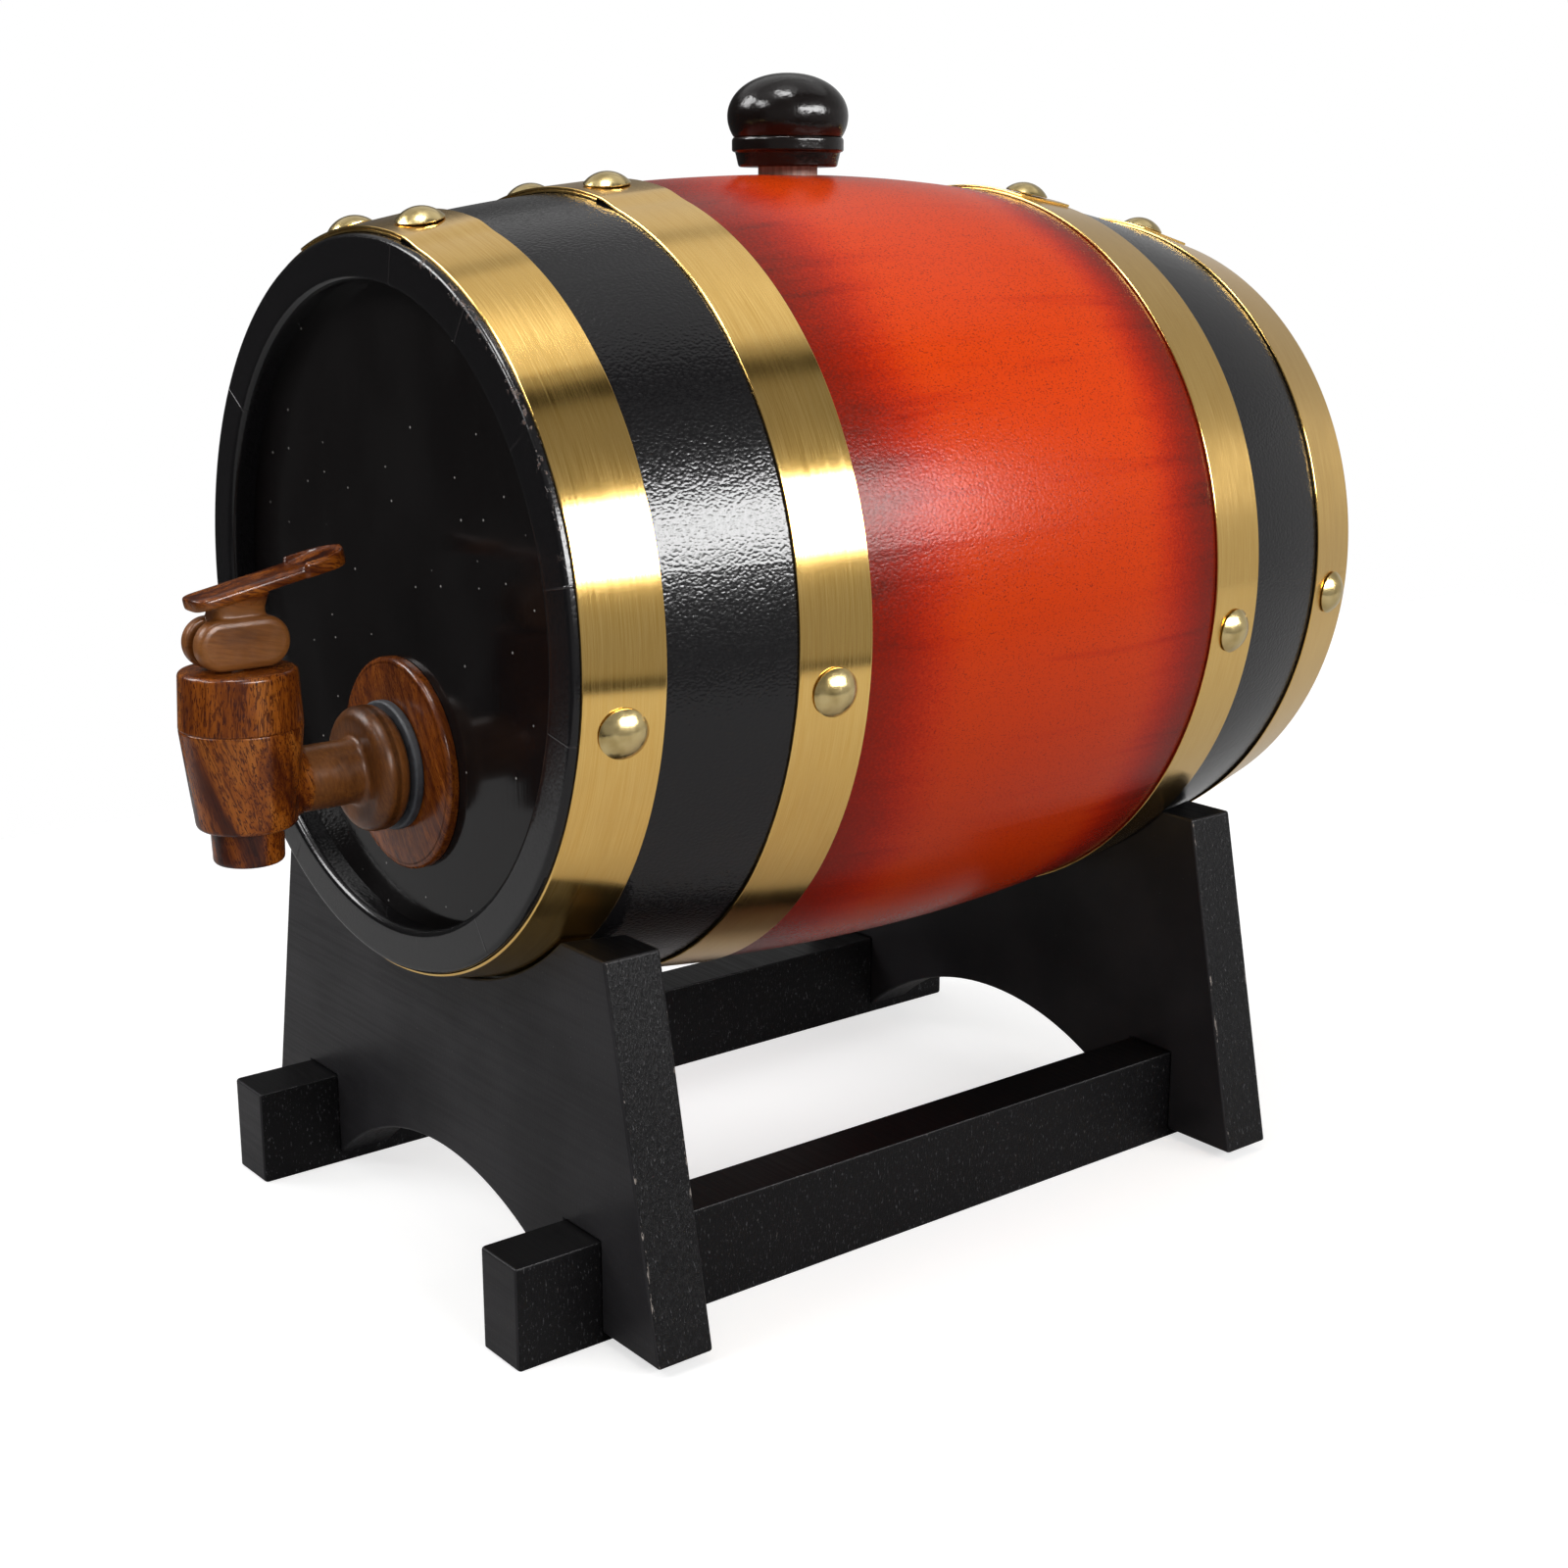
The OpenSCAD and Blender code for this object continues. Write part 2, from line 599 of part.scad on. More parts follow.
for (i = [0 : stave_count - 1])
    stave(i);
head(-1);  // front_head
head(1);  // back_head
hoop(0);  // front_end_hoop
hoop(1);  // front_inner_hoop
hoop(2);  // back_inner_hoop
hoop(3);  // back_end_hoop
rivets(0);  // front_end_rivets
rivets(1);  // front_inner_rivets
rivets(2);  // back_inner_rivets
rivets(3);  // back_end_rivets
stopper_knob();
stopper_plug();
tap_plate();
tap_washer();
tap_body();
tap_cap();
tap_gasket();
tap_nut();
valve_plunger();
valve_seal();
valve_spring();
tap_lever();
board(front_board_y, true);  // front_board
board(back_board_y, false);  // back_board
rail(-1);  // left_rail
rail(1);  // right_rail
stand_screws();
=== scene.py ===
# Oak cask liquor dispenser: its looks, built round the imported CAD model.
# Metres, +Z is up, the cask lies along Y and its tap points along -Y. The floor is z = 0.
import math

import bmesh
import bpy
import numpy as np
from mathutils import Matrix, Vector


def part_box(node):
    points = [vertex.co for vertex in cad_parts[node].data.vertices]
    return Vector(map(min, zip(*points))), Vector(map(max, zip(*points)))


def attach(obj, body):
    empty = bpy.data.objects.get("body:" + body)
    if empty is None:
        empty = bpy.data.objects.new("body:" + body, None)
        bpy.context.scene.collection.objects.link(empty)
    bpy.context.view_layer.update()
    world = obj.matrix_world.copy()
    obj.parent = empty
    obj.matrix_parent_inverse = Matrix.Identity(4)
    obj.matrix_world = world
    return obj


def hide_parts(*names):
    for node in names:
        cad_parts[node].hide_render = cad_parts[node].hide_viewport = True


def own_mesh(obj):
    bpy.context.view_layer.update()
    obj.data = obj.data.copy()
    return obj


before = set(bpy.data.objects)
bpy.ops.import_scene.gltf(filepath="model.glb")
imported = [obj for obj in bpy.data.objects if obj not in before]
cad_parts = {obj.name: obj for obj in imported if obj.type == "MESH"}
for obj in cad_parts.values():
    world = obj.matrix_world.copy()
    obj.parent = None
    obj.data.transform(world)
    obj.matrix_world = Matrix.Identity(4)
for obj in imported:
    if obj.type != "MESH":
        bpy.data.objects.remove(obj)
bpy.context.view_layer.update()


# ---------------------------------------------------------------- Studio
# The photograph's viewpoint, a pale floor under a white backdrop, and soft boxes: a wide one to the right,
# two before the table, a small high one and a large one overhead. Nothing else stands near the object.
class Finish:
    """A material, or the world, put together node by node; its patterns are measured from its centre. An
    input may be a number, a colour or another node."""

    def __init__(self, name, centre=(0, 0, 0), world=False):
        self.material = (bpy.data.worlds if world else bpy.data.materials).new(name)
        self.material.use_nodes = True
        self.nodes = self.material.node_tree.nodes
        self.links = self.material.node_tree.links
        self.shader = self.nodes["Background" if world else "Principled BSDF"]
        self.centre = centre

    def give(self, socket, value):
        if isinstance(value, bpy.types.NodeSocket):
            self.links.new(value, socket)
        elif socket.type == "RGBA":
            socket.default_value = (*value[:3], 1.0)
        else:
            socket.default_value = value

    def add(self, kind, inputs=None, output=0, **settings):
        node = self.nodes.new("ShaderNode" + kind)
        for key, value in settings.items():
            setattr(node, key, value)
        for key, value in (inputs or {}).items():
            self.give(node.inputs[key], value)
        return node.outputs[output]

    def place(self, size=1.0, turn=(0, 0, 0)):
        """Object coordinates from the centre, turned, and measured in one size or in one for each axis."""
        seen = self.add("TexCoord", output="Object")
        turns = tuple(math.radians(angle) for angle in turn)
        sizes = size if isinstance(size, tuple) else (size, size, size)
        inputs = {"Vector": seen, "Location": self.centre, "Rotation": turns, "Scale": sizes}
        return self.add("Mapping", inputs, vector_type="TEXTURE")

    def axes(self, vector=None):
        """The three parts of a vector, or else of the Object coordinates seen from the centre."""
        return self.add("SeparateXYZ", {0: self.place() if vector is None else vector}).node.outputs

    def noise(self, size, turn=(0, 0, 0), detail=2.0, roughness=0.5, distortion=0.0):
        return self.add("TexNoise", {"Vector": self.place(size, turn), "Scale": 1.0, "Detail": detail,
                                     "Roughness": roughness, "Distortion": distortion})

    def maths(self, operation, *values):
        return self.add("Math", dict(enumerate(values)), operation=operation)

    def plus(self, first, second):
        return self.maths("ADD", first, second)

    def times(self, first, second, then_add=None):
        """One value times another, and plus a third if there is one."""
        if then_add is None:
            return self.maths("MULTIPLY", first, second)
        return self.maths("MULTIPLY_ADD", first, second, then_add)

    def off(self, value, place):
        """How far a value lies from a place, to either side."""
        return self.maths("ABSOLUTE", self.maths("SUBTRACT", value, place))

    def step(self, value, low, high, start=0.0, end=1.0):
        """Goes smoothly from start to end while value goes from low to high."""
        return self.add("MapRange", {"Value": value, "From Min": low, "From Max": high, "To Min": start,
                                     "To Max": end}, interpolation_type="SMOOTHSTEP")

    def blend(self, share, first, second):
        return self.add("Mix", {0: share, 6: first, 7: second}, output=2, data_type="RGBA")

    def ramp(self, value, *stops):
        """Colours at places between 0 and 1, blended between them."""
        node = self.nodes.new("ShaderNodeValToRGB")
        self.give(node.inputs[0], value)
        elements = node.color_ramp.elements
        for index, (place, colour) in enumerate(stops):
            element = elements[index] if index < 2 else elements.new(place)
            element.position = place
            element.color = (*colour, 1.0)
        return node.outputs[0]

    def bump(self, height, depth, under=None):
        inputs = {"Height": height, "Distance": depth, "Strength": 1.0}
        if under is not None:
            inputs["Normal"] = under
        return self.add("Bump", inputs)

    def shade(self, **inputs):
        for key, value in inputs.items():
            self.give(self.shader.inputs[key.replace("_", " ")], value)
        return self.material


def skin(points, around=True, along=False, ends=False):
    """Quads over a grid of points: corner i, j joins i, j+1 and i+1, j+1 and i+1, j. around closes each row
    on itself, along joins the last row to the first, and ends puts a face over the first and last rows."""
    rows, count = points.shape[:2]
    i, j = np.meshgrid(np.arange(rows if along else rows - 1), np.arange(count if around else count - 1),
                       indexing="ij")
    next_i, next_j = (i + 1) % rows, (j + 1) % count
    quads = [i * count + j, i * count + next_j, next_i * count + next_j, next_i * count + j]
    faces = np.stack(quads, axis=-1).reshape(-1, 4).tolist()
    if ends:
        faces += [list(range(count)), list(range((rows - 1) * count, rows * count))]
    return points.reshape(-1, 3), faces


def put(name, points, faces, material):
    """One open surface of the studio."""
    mesh = bpy.data.meshes.new(name)
    mesh.from_pydata(np.asarray(points, dtype=float).tolist(), [], faces)
    mesh.materials.append(material)
    thing = bpy.data.objects.new(name, mesh)
    bpy.context.collection.objects.link(thing)
    return thing


def glowing(name, strength):
    """A surface that only gives light, as much as a number says or as its mesh's attribute of that name."""
    finish = Finish(name)
    if isinstance(strength, str):
        strength = finish.add("Attribute", output="Fac", attribute_name=strength)
    return finish.shade(Base_Color=(0, 0, 0), Specular_IOR_Level=0.0, Emission_Color=(1, 1, 1),
                        Emission_Strength=strength)


def keep_for_gloss(thing):
    """Leaves a glowing surface out of everything but reflections."""
    thing.visible_camera = thing.visible_diffuse = thing.visible_transmission = thing.visible_shadow = False


camera = bpy.data.objects.new("camera", bpy.data.cameras.new("camera"))
camera.data.lens = 50.88
camera.data.sensor_width = 36.0
camera.data.clip_start = 0.01
camera.location = (0.3588, -0.2679, 0.1959)
camera.rotation_euler = Vector((-0.7603, 0.6000, -0.2485)).to_track_quat("-Z", "Y").to_euler()
bpy.context.collection.objects.link(camera)
bpy.context.scene.camera = camera
bpy.context.scene.view_settings.view_transform = "Standard"

FLOOR_LEFT, FLOOR_RIGHT, FLOOR_FRONT, FLOOR_BACK = -0.34, 0.425, -0.34, 0.75
floor_finish = Finish("pale_floor")
rays = floor_finish.add("LightPath").node.outputs
seen = floor_finish.maths("MAXIMUM", rays["Is Camera Ray"], rays["Is Transmission Ray"])
floor_paint = floor_finish.shade(Base_Color=(0.60, 0.60, 0.60), Roughness=0.9, Specular_IOR_Level=0.0,
                                 Emission_Color=(1, 1, 1), Emission_Strength=floor_finish.times(seen, 0.62))
corners = [(FLOOR_LEFT, FLOOR_FRONT, 0), (FLOOR_RIGHT, FLOOR_FRONT, 0), (FLOOR_RIGHT, FLOOR_BACK, 0),
           (FLOOR_LEFT, FLOOR_BACK, 0)]
floor = put("floor", corners, [(0, 1, 2, 3)], floor_paint)

sky = Finish("white_backdrop", world=True)
rays = sky.add("LightPath").node.outputs
seen = sky.maths("MAXIMUM", sky.maths("MAXIMUM", rays["Is Camera Ray"], rays["Is Glossy Ray"]),
                 rays["Is Transmission Ray"])
sky.shade(Strength=sky.times(seen, 0.7, 0.3), Color=(1, 1, 1))
bpy.context.scene.world = sky.material

# A grey tent with an open top stands round the table, out of the camera's sight: only gloss shows it. Up its
# wall it glows as listed; it is darker at the near left corner and brighter behind the table.
TENT_R, TENT_MIDDLE = 2.4, (0, 0, 0.14)
WALL_RISE = [-70, -15.5, -14.5, 14, 18, 40, 55, 61, 62, 67, 68, 85]
WALL_GLOW = [0.05, 0.05, 0.32, 0.34, 0.26, 0.25, 0.23, 0.18, 0.01, 0.01, 0.24, 0.29]
CORNER_AT, CORNER_GLOW, BEHIND_AT, BEHIND_MORE = 215, 0.05, 92, 0.55


def below(value, limit, fade):
    """0 above a limit, 1 below it by a fade or more, and evenly between the two."""
    return np.clip((limit - value) / fade, 0, 1)


azimuth, rise = np.meshgrid(np.linspace(0, 360, 121), np.linspace(-70, 78, 149))
sideways = np.abs(np.cos(np.radians(rise)) * np.cos(np.radians(azimuth)))
rise_across = np.degrees(np.arctan2(np.sin(np.radians(rise)), sideways))
high = np.clip((rise - 35) / 12, 0, 1)
glow = np.interp(rise * (1 - high) + rise_across * high, WALL_RISE, WALL_GLOW)
corner = below(np.abs((azimuth - CORNER_AT + 180) % 360 - 180), 75, 20) * below(rise, 34, 10)
glow = glow * (1 - corner) + CORNER_GLOW * corner
behind = below(np.abs(azimuth - BEHIND_AT), 50, 12) * below(rise, 66, 10) * (rise > -12)
glow = glow * (1 + BEHIND_MORE * behind)
azimuth, rise = np.radians(azimuth), np.radians(rise)
wall = np.stack([np.cos(rise) * np.cos(azimuth), np.cos(rise) * np.sin(azimuth), np.sin(rise)], axis=-1)
tent = put("tent", *skin(wall * TENT_R + TENT_MIDDLE, around=False), glowing("grey_tent", "glow"))
tent.data.attributes.new("glow", "FLOAT", "POINT").data.foreach_set("value", glow.ravel())
keep_for_gloss(tent)

# Each box: its place, what it is turned to, its width and height, the lamp's watts, and the glow of the cloth
# before the lamp, which is seen in gloss only.
for name, place, aim, size, power, shine in (
    ("right_box", (1.09, 0.27, 0.575), (0.0, 0.27, 0.14), (1.10, 0.38), 10.0, 24.0),
    ("left_box", (-0.85, -0.90, 1.02), (0.0, -0.05, 0.10), (0.60, 0.60), 5.5, 12.0),
    ("high_box", (0.18, -0.28, 1.30), (0.0, -0.10, 0.15), (0.40, 0.30), 1.0, 24.0),
    ("front_box", (-0.12, -1.05, 0.95), (0.0, -0.05, 0.10), (0.46, 0.30), 3.0, 12.0),
    ("top_box", (-0.87, 0.0, 1.40), (-0.87, 0.0, 0.0), (2.6, 2.6), 9.0, 0.0),
):
    lamp = bpy.data.lights.new(name, "AREA")
    lamp.shape = "RECTANGLE"
    lamp.size, lamp.size_y = size
    lamp.energy = power
    box = bpy.data.objects.new(name, lamp)
    box.location = place
    box.rotation_euler = (Vector(aim) - Vector(place)).to_track_quat("-Z", "Y").to_euler()
    bpy.context.collection.objects.link(box)
    if shine:
        across, up = size[0] / 2, size[1] / 2
        corners = [(-across, -up, 0.01), (across, -up, 0.01), (across, up, 0.01), (-across, up, 0.01)]
        cloth = put(f"{name}_cloth", corners, [(0, 1, 2, 3)], glowing(f"{name}_cloth", shine))
        cloth.location, cloth.rotation_euler = box.location, box.rotation_euler
        keep_for_gloss(cloth)


# ---------------------------------------------------------------- Staves
# Sixteen oak staves, bent to an arc and lacquered as one surface: orange stain in the middle, sprayed darker
# towards the hoops, and black beyond them. Each is grooved for the heads; the top one has the bung hole.
def make(name, skins, material, sharp=32.0):
    """One object at the origin from its skins: doubles merged, faces outwards, smooth up to sharp degrees."""
    starts = np.cumsum([0] + [len(points) for points, _ in skins])
    faces = [[corner + int(start) for corner in face]
             for (_, own), start in zip(skins, starts) for face in own]
    mesh = bpy.data.meshes.new(name)
    mesh.from_pydata(np.concatenate([points for points, _ in skins]).tolist(), [], faces)
    merged = bmesh.new()
    merged.from_mesh(mesh)
    bmesh.ops.remove_doubles(merged, verts=merged.verts, dist=1e-7)
    bmesh.ops.recalc_face_normals(merged, faces=merged.faces)
    merged.to_mesh(mesh)
    merged.free()
    mesh.shade_smooth()
    mesh.set_sharp_from_angle(angle=math.radians(sharp))
    if material is not None:
        mesh.materials.append(material)
    thing = bpy.data.objects.new(name, mesh)
    bpy.context.collection.objects.link(thing)
    return thing


def carve(thing, skins, how="DIFFERENCE", sharp=32.0):
    """Cuts skins out of a piece, or adds them to it with how="UNION", and keeps the result as its mesh."""
    tool = make("tool", skins, None)
    cut = thing.modifiers.new(how, "BOOLEAN")
    cut.operation, cut.solver, cut.object = how, "EXACT", tool
    bpy.context.view_layer.update()
    solid = bpy.data.meshes.new_from_object(thing.evaluated_get(bpy.context.evaluated_depsgraph_get()))
    thing.modifiers.clear()
    before, thing.data = thing.data, solid
    solid.name = before.name + "_solid"
    solid.shade_smooth()
    solid.set_sharp_from_angle(angle=math.radians(sharp))
    tool_mesh = tool.data
    bpy.data.objects.remove(tool)
    bpy.data.meshes.remove(tool_mesh)
    bpy.data.meshes.remove(before)


def rounded(corners, radii, steps=5, hold=0.5):
    """An outline with arcs for corners: an arc touches both sides at r / tan(half the corner's angle). A
    point on each side, hold times the radius further off, keeps flat faces flat when shaded smooth."""
    corners = np.asarray(corners, dtype=float)
    points = []
    for before, corner, after, r in zip(np.roll(corners, 1, 0), corners, np.roll(corners, -1, 0), radii):
        if not r:
            points.append(corner[None])
            continue
        a, b = before - corner, after - corner
        a, b = a / np.linalg.norm(a), b / np.linalg.norm(b)
        half = math.acos(np.clip(a @ b, -1, 1)) / 2
        touch = r / math.tan(half)
        centre = corner + (a + b) / np.linalg.norm(a + b) * r / math.sin(half)
        share = np.linspace(0, 1, steps + 1)[:, None]
        spokes = (corner + a * touch - centre) * (1 - share) + (corner + b * touch - centre) * share
        arc = centre + r * spokes / np.linalg.norm(spokes, axis=1)[:, None]
        points += [(corner + a * (touch + hold * r))[None], arc, (corner + b * (touch + hold * r))[None]]
    return np.concatenate(points)


def round_cask(section, angles):
    """A section of (radius, place along) at angles from the top: x = r sin a, y = v, z = r cos a."""
    angle = np.radians(angles)[:, None]
    r, v = section[None, :, 0], section[None, :, 1]
    return np.stack([r * np.sin(angle), v + 0 * angle, r * np.cos(angle)], axis=-1) + cask_centre


stave_low, stave_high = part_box("stave_1")
head_low, head_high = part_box("front_head")
cask_centre = np.array([0.0, (stave_low.y + stave_high.y) / 2, (head_low.z + head_high.z) / 2])
HALF_LEN = (stave_high.y - stave_low.y) / 2
BILGE_R = stave_high.z - cask_centre[2]
FRONT_DRAW, BACK_DRAW = 0.0110, 0.0134
STAVE_T = 0.008
STAVE_COUNT = 16
HEAD_IN, HEAD_T = 0.0055, 0.007
HEAD_GAP, INSIDE_FROM_END = 0.00005, 0.02
CHIME_ROUND, CHIME_LIP_ROUND = 0.0009, 0.0013
BUNG_V, BUNG_R = -0.0025, 0.00596


def stave_r(v, depth=0.0):
    """Radius over the staves, or a depth inside them: one arc from the middle to each end,
    r = bilge - R + sqrt((R - depth)^2 - v^2), with R = (half length^2 + draw^2) / (2 draw)."""
    draw = np.where(np.asarray(v) < 0, FRONT_DRAW, BACK_DRAW)
    arc = (HALF_LEN ** 2 + draw ** 2) / (2 * draw)
    return BILGE_R - arc + np.sqrt((arc - depth) ** 2 - np.square(v))


def groove(side):
    """The four corners of the groove that holds a head, from the end inwards."""
    face, back = side * (HALF_LEN - HEAD_IN + HEAD_GAP), side * (HALF_LEN - HEAD_IN - HEAD_T - HEAD_GAP)
    deep = (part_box("front_head" if side < 0 else "back_head")[1].z - cask_centre[2]) + HEAD_GAP
    return [(stave_r(face, STAVE_T), face), (deep, face), (deep, back), (stave_r(back, STAVE_T), back)]


outer_v = np.linspace(-HALF_LEN, HALF_LEN, 61)
outer = [(float(stave_r(v)), v) for v in outer_v]
inner_v = np.linspace(HALF_LEN - INSIDE_FROM_END, -HALF_LEN + INSIDE_FROM_END, 25)
inner = [(float(stave_r(v, STAVE_T)), v) for v in inner_v]
back_lip = [(float(stave_r(HALF_LEN, STAVE_T)), HALF_LEN)]
front_lip = [(float(stave_r(-HALF_LEN, STAVE_T)), -HALF_LEN)]
section = outer + back_lip + groove(1) + inner + groove(-1)[::-1] + front_lip
radii = np.zeros(len(section))
radii[[0, len(outer) - 1]] = CHIME_ROUND
radii[[len(outer), len(section) - 1]] = CHIME_LIP_ROUND
stave_section = rounded(section, radii)

STAIN = ((0.0, (0.69, 0.050, 0.001)), (0.22, (0.57, 0.029, 0.001)), (0.45, (0.40, 0.015, 0.001)),
         (0.68, (0.25, 0.011, 0.002)), (0.85, (0.16, 0.011, 0.004)), (1.0, (0.085, 0.009, 0.005)))
# The first colour here is a painted shade for the lower half of the cask, not a colour of the stain.
SHADE_BELOW_RED, FLECK_BROWN, BAND_BLACK = (0.10, 0.004, 0.003), (0.16, 0.012, 0.004), (0.007, 0.0065, 0.0072)
JOINT_GREY, CHIPPED_WOOD = (0.06, 0.05, 0.05), (0.22, 0.15, 0.13)
SPRAY_FRONT, SPRAY_BACK = 0.0450, 0.0455
BLACK_FROM, BLACK_FULL, BAND_FROM = 0.0455, 0.0490, 0.0480
CHIPS_AT = 46.0


def oak_finish(name, mirror):
    """Stain and lacquer over the whole cask, worked out from the distance along it (v), the radius and the
    angle from the top; mirror is how strongly the lacquer reflects."""
    stain = Finish(name, cask_centre)
    cask_x, cask_v, cask_z = stain.axes()
    around = stain.times(stain.maths("ARCTAN2", cask_x, cask_z), 180 / math.pi)
    side = stain.maths("ABSOLUTE", around)
    from_middle = stain.maths("ABSOLUTE", cask_v)
    cloud = stain.noise((0.030, 0.045, 0.030))
    rings = stain.noise((0.0045, 0.11, 0.0045), (0, 0, 3), detail=3, roughness=0.55, distortion=0.25)
    fine_rings = stain.noise((0.0012, 0.045, 0.0012), (0, 0, 3))
    mist = stain.noise((0.00036, 0.00055, 0.00036), detail=1.5, roughness=0.6)
    fleck = stain.noise((0.00024, 0.00045, 0.00024), detail=1)

    # The spray: how far a point is into the dark, from 0 in the middle to 1 at the hoops, wider near the top
    wander = stain.times(cloud, 0.006, -0.003)
    front_in = stain.maths("DIVIDE", stain.plus(stain.plus(cask_v, SPRAY_FRONT), wander),
                           stain.step(side, 15, 70, 0.028, 0.026))
    back_in = stain.maths("DIVIDE", stain.maths("SUBTRACT", stain.plus(SPRAY_BACK, wander), cask_v),
                          stain.step(side, 30, 100, 0.021, 0.025))
    dark = stain.step(stain.maths("MINIMUM", front_in, back_in), 1.0, 0.0)
    spray = stain.times(stain.maths("SUBTRACT", mist, 0.5), stain.step(dark, 0.0, 0.5, 0.28, 0.62))
    fade = stain.times(dark, stain.step(cask_v, -0.01, 0.01, 0.74, 0.84))
    tone = stain.plus(fade, spray)
    tone = stain.times(stain.maths("SUBTRACT", rings, 0.5), 0.22, tone)
    tone = stain.plus(tone, stain.step(rings, 0.57, 0.70, 0.0, 0.10))
    tone = stain.times(stain.maths("SUBTRACT", fine_rings, 0.5), 0.12, tone)
    colour = stain.ramp(tone, *STAIN)
    # Painted shade: the lower half of the cask is blended darker towards the bottom.
    painted_shade_below = stain.times(stain.step(side, 58, 122), 0.85)
    colour = stain.blend(painted_shade_below, colour, stain.blend(0.55, colour, SHADE_BELOW_RED))
    colour = stain.blend(stain.step(fleck, 0.60, 0.68, 0.0, 0.75), colour, FLECK_BROWN)
    black = stain.step(from_middle, BLACK_FROM, BLACK_FULL)
    colour = stain.blend(black, colour, BAND_BLACK)

    # On the ends: faint lines where staves meet, and the lacquer chipped off the outer edge
    end_face = stain.step(from_middle, HALF_LEN - 0.0016, HALF_LEN - 0.0008)
    cask_r = stain.plus(stain.maths("POWER", cask_x, 2.0), stain.maths("POWER", cask_z, 2.0))
    cask_r = stain.maths("SQRT", cask_r)
    joint = stain.off(stain.maths("FRACT", stain.maths("DIVIDE", around, 360 / STAVE_COUNT)), 0.5)
    joint = stain.times(stain.step(joint, 0.010, 0.003), stain.step(cloud, 0.45, 0.65))
    joint = stain.times(joint, end_face)
    chip = stain.noise((0.0016, 0.0008, 0.0016), detail=4, roughness=0.7)
    worn = stain.step(stain.off(around, CHIPS_AT), 34.0, 18.0)
    chip = stain.times(stain.step(chip, 0.56, 0.61), worn)
    chip = stain.times(chip, stain.times(end_face, stain.step(cask_r, 0.0650, 0.0662)))
    colour = stain.blend(stain.times(joint, 0.35), colour, JOINT_GREY)
    colour = stain.blend(stain.times(chip, 0.55), colour, CHIPPED_WOOD)

    # The lacquer's own surface: a fine peel, deeper and glossier on the black bands, flatter on the ends
    peel = stain.noise((0.00050, 0.00068, 0.00050), detail=0.5)
    peel_depth = stain.times(black, 0.000025, 0.000045)
    peel_depth = stain.times(peel_depth, stain.times(end_face, -0.85, 1.0))
    relief = stain.bump(peel, peel_depth)
    relief = stain.bump(stain.plus(joint, chip), 0.00008, relief)
    rough = stain.times(black, -0.06, stain.step(peel, 0.3, 0.7, 0.20, 0.27))
    return stain.shade(Base_Color=colour, Roughness=rough, Specular_IOR_Level=mirror, Normal=relief)


stain_finish = oak_finish("stained_oak", 0.12)
band_finish = oak_finish("black_lacquered_bands", 0.32)

stave_angle = 360 / STAVE_COUNT
for index in range(STAVE_COUNT):
    angles = np.linspace((index - 0.5) * stave_angle, (index + 0.5) * stave_angle, 13)
    stave = make(f"stave_{index + 1}_lacquered", [skin(round_cask(stave_section, angles), ends=True)],
                 stain_finish)
    if index == 0:
        turn = np.linspace(0, 2 * np.pi, 64, endpoint=False)
        rim = np.stack([BUNG_R * np.cos(turn), BUNG_V + BUNG_R * np.sin(turn), 0 * turn], axis=-1)
        rim = rim + cask_centre
        carve(stave, [skin(np.stack([rim + (0, 0, BILGE_R - 2 * STAVE_T), rim + (0, 0, BILGE_R + STAVE_T)]),
                           ends=True)])
    stave.data.materials.append(band_finish)
    corners = np.empty(len(stave.data.vertices) * 3)
    stave.data.vertices.foreach_get("co", corners)
    along = np.abs(corners.reshape(-1, 3)[:, 1] - cask_centre[1])
    banded = [int(np.min(along[list(face.vertices)]) > BAND_FROM) for face in stave.data.polygons]
    stave.data.polygons.foreach_set("material_index", banded)
    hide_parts(f"stave_{index + 1}")
    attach(stave, "cask")


# ---------------------------------------------------------------- Heads
# Two turned oak discs in the staves' grooves, sprayed with glossy black lacquer; the front one is drilled for
# the tap. A few specks of dust lie on the lacquer.
def dress(name, material):
    """Gives a piece that is shown as its own solid a material."""
    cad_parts[name].data.materials.clear()
    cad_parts[name].data.materials.append(material)


DUST_APART, DUST_GREY = 0.008, (0.5, 0.48, 0.46)
lacquer = Finish("black_lacquered_oak", cask_centre)
dust = lacquer.add("TexVoronoi", {"Vector": lacquer.place(DUST_APART, (90, 0, 0)), "Scale": 1.0},
                   voronoi_dimensions="2D")
dust_pick = lacquer.add("SeparateColor", {0: dust.node.outputs["Color"]})
dust_dot = lacquer.step(dust, lacquer.times(dust_pick, 0.030, 0.008), 0.008)
dust_share = lacquer.times(dust_dot, lacquer.step(dust_pick, 0.60, 0.66))
cloud = lacquer.noise((0.02, 0.02, 0.03), detail=3)
head_grain = lacquer.noise((0.0008, 0.002, 0.012), detail=3)
lacquer_colour = lacquer.blend(lacquer.step(cloud, 0.3, 0.7), (0.006, 0.005, 0.005), (0.010, 0.009, 0.009))
lacquer_colour = lacquer.blend(dust_share, lacquer_colour, DUST_GREY)
lacquer_finish = lacquer.shade(Base_Color=lacquer_colour, Roughness=lacquer.step(cloud, 0.3, 0.7, 0.10, 0.16),
                               Specular_IOR_Level=0.16, Normal=lacquer.bump(head_grain, 0.00001))
dress("front_head", lacquer_finish)
dress("back_head", lacquer_finish)


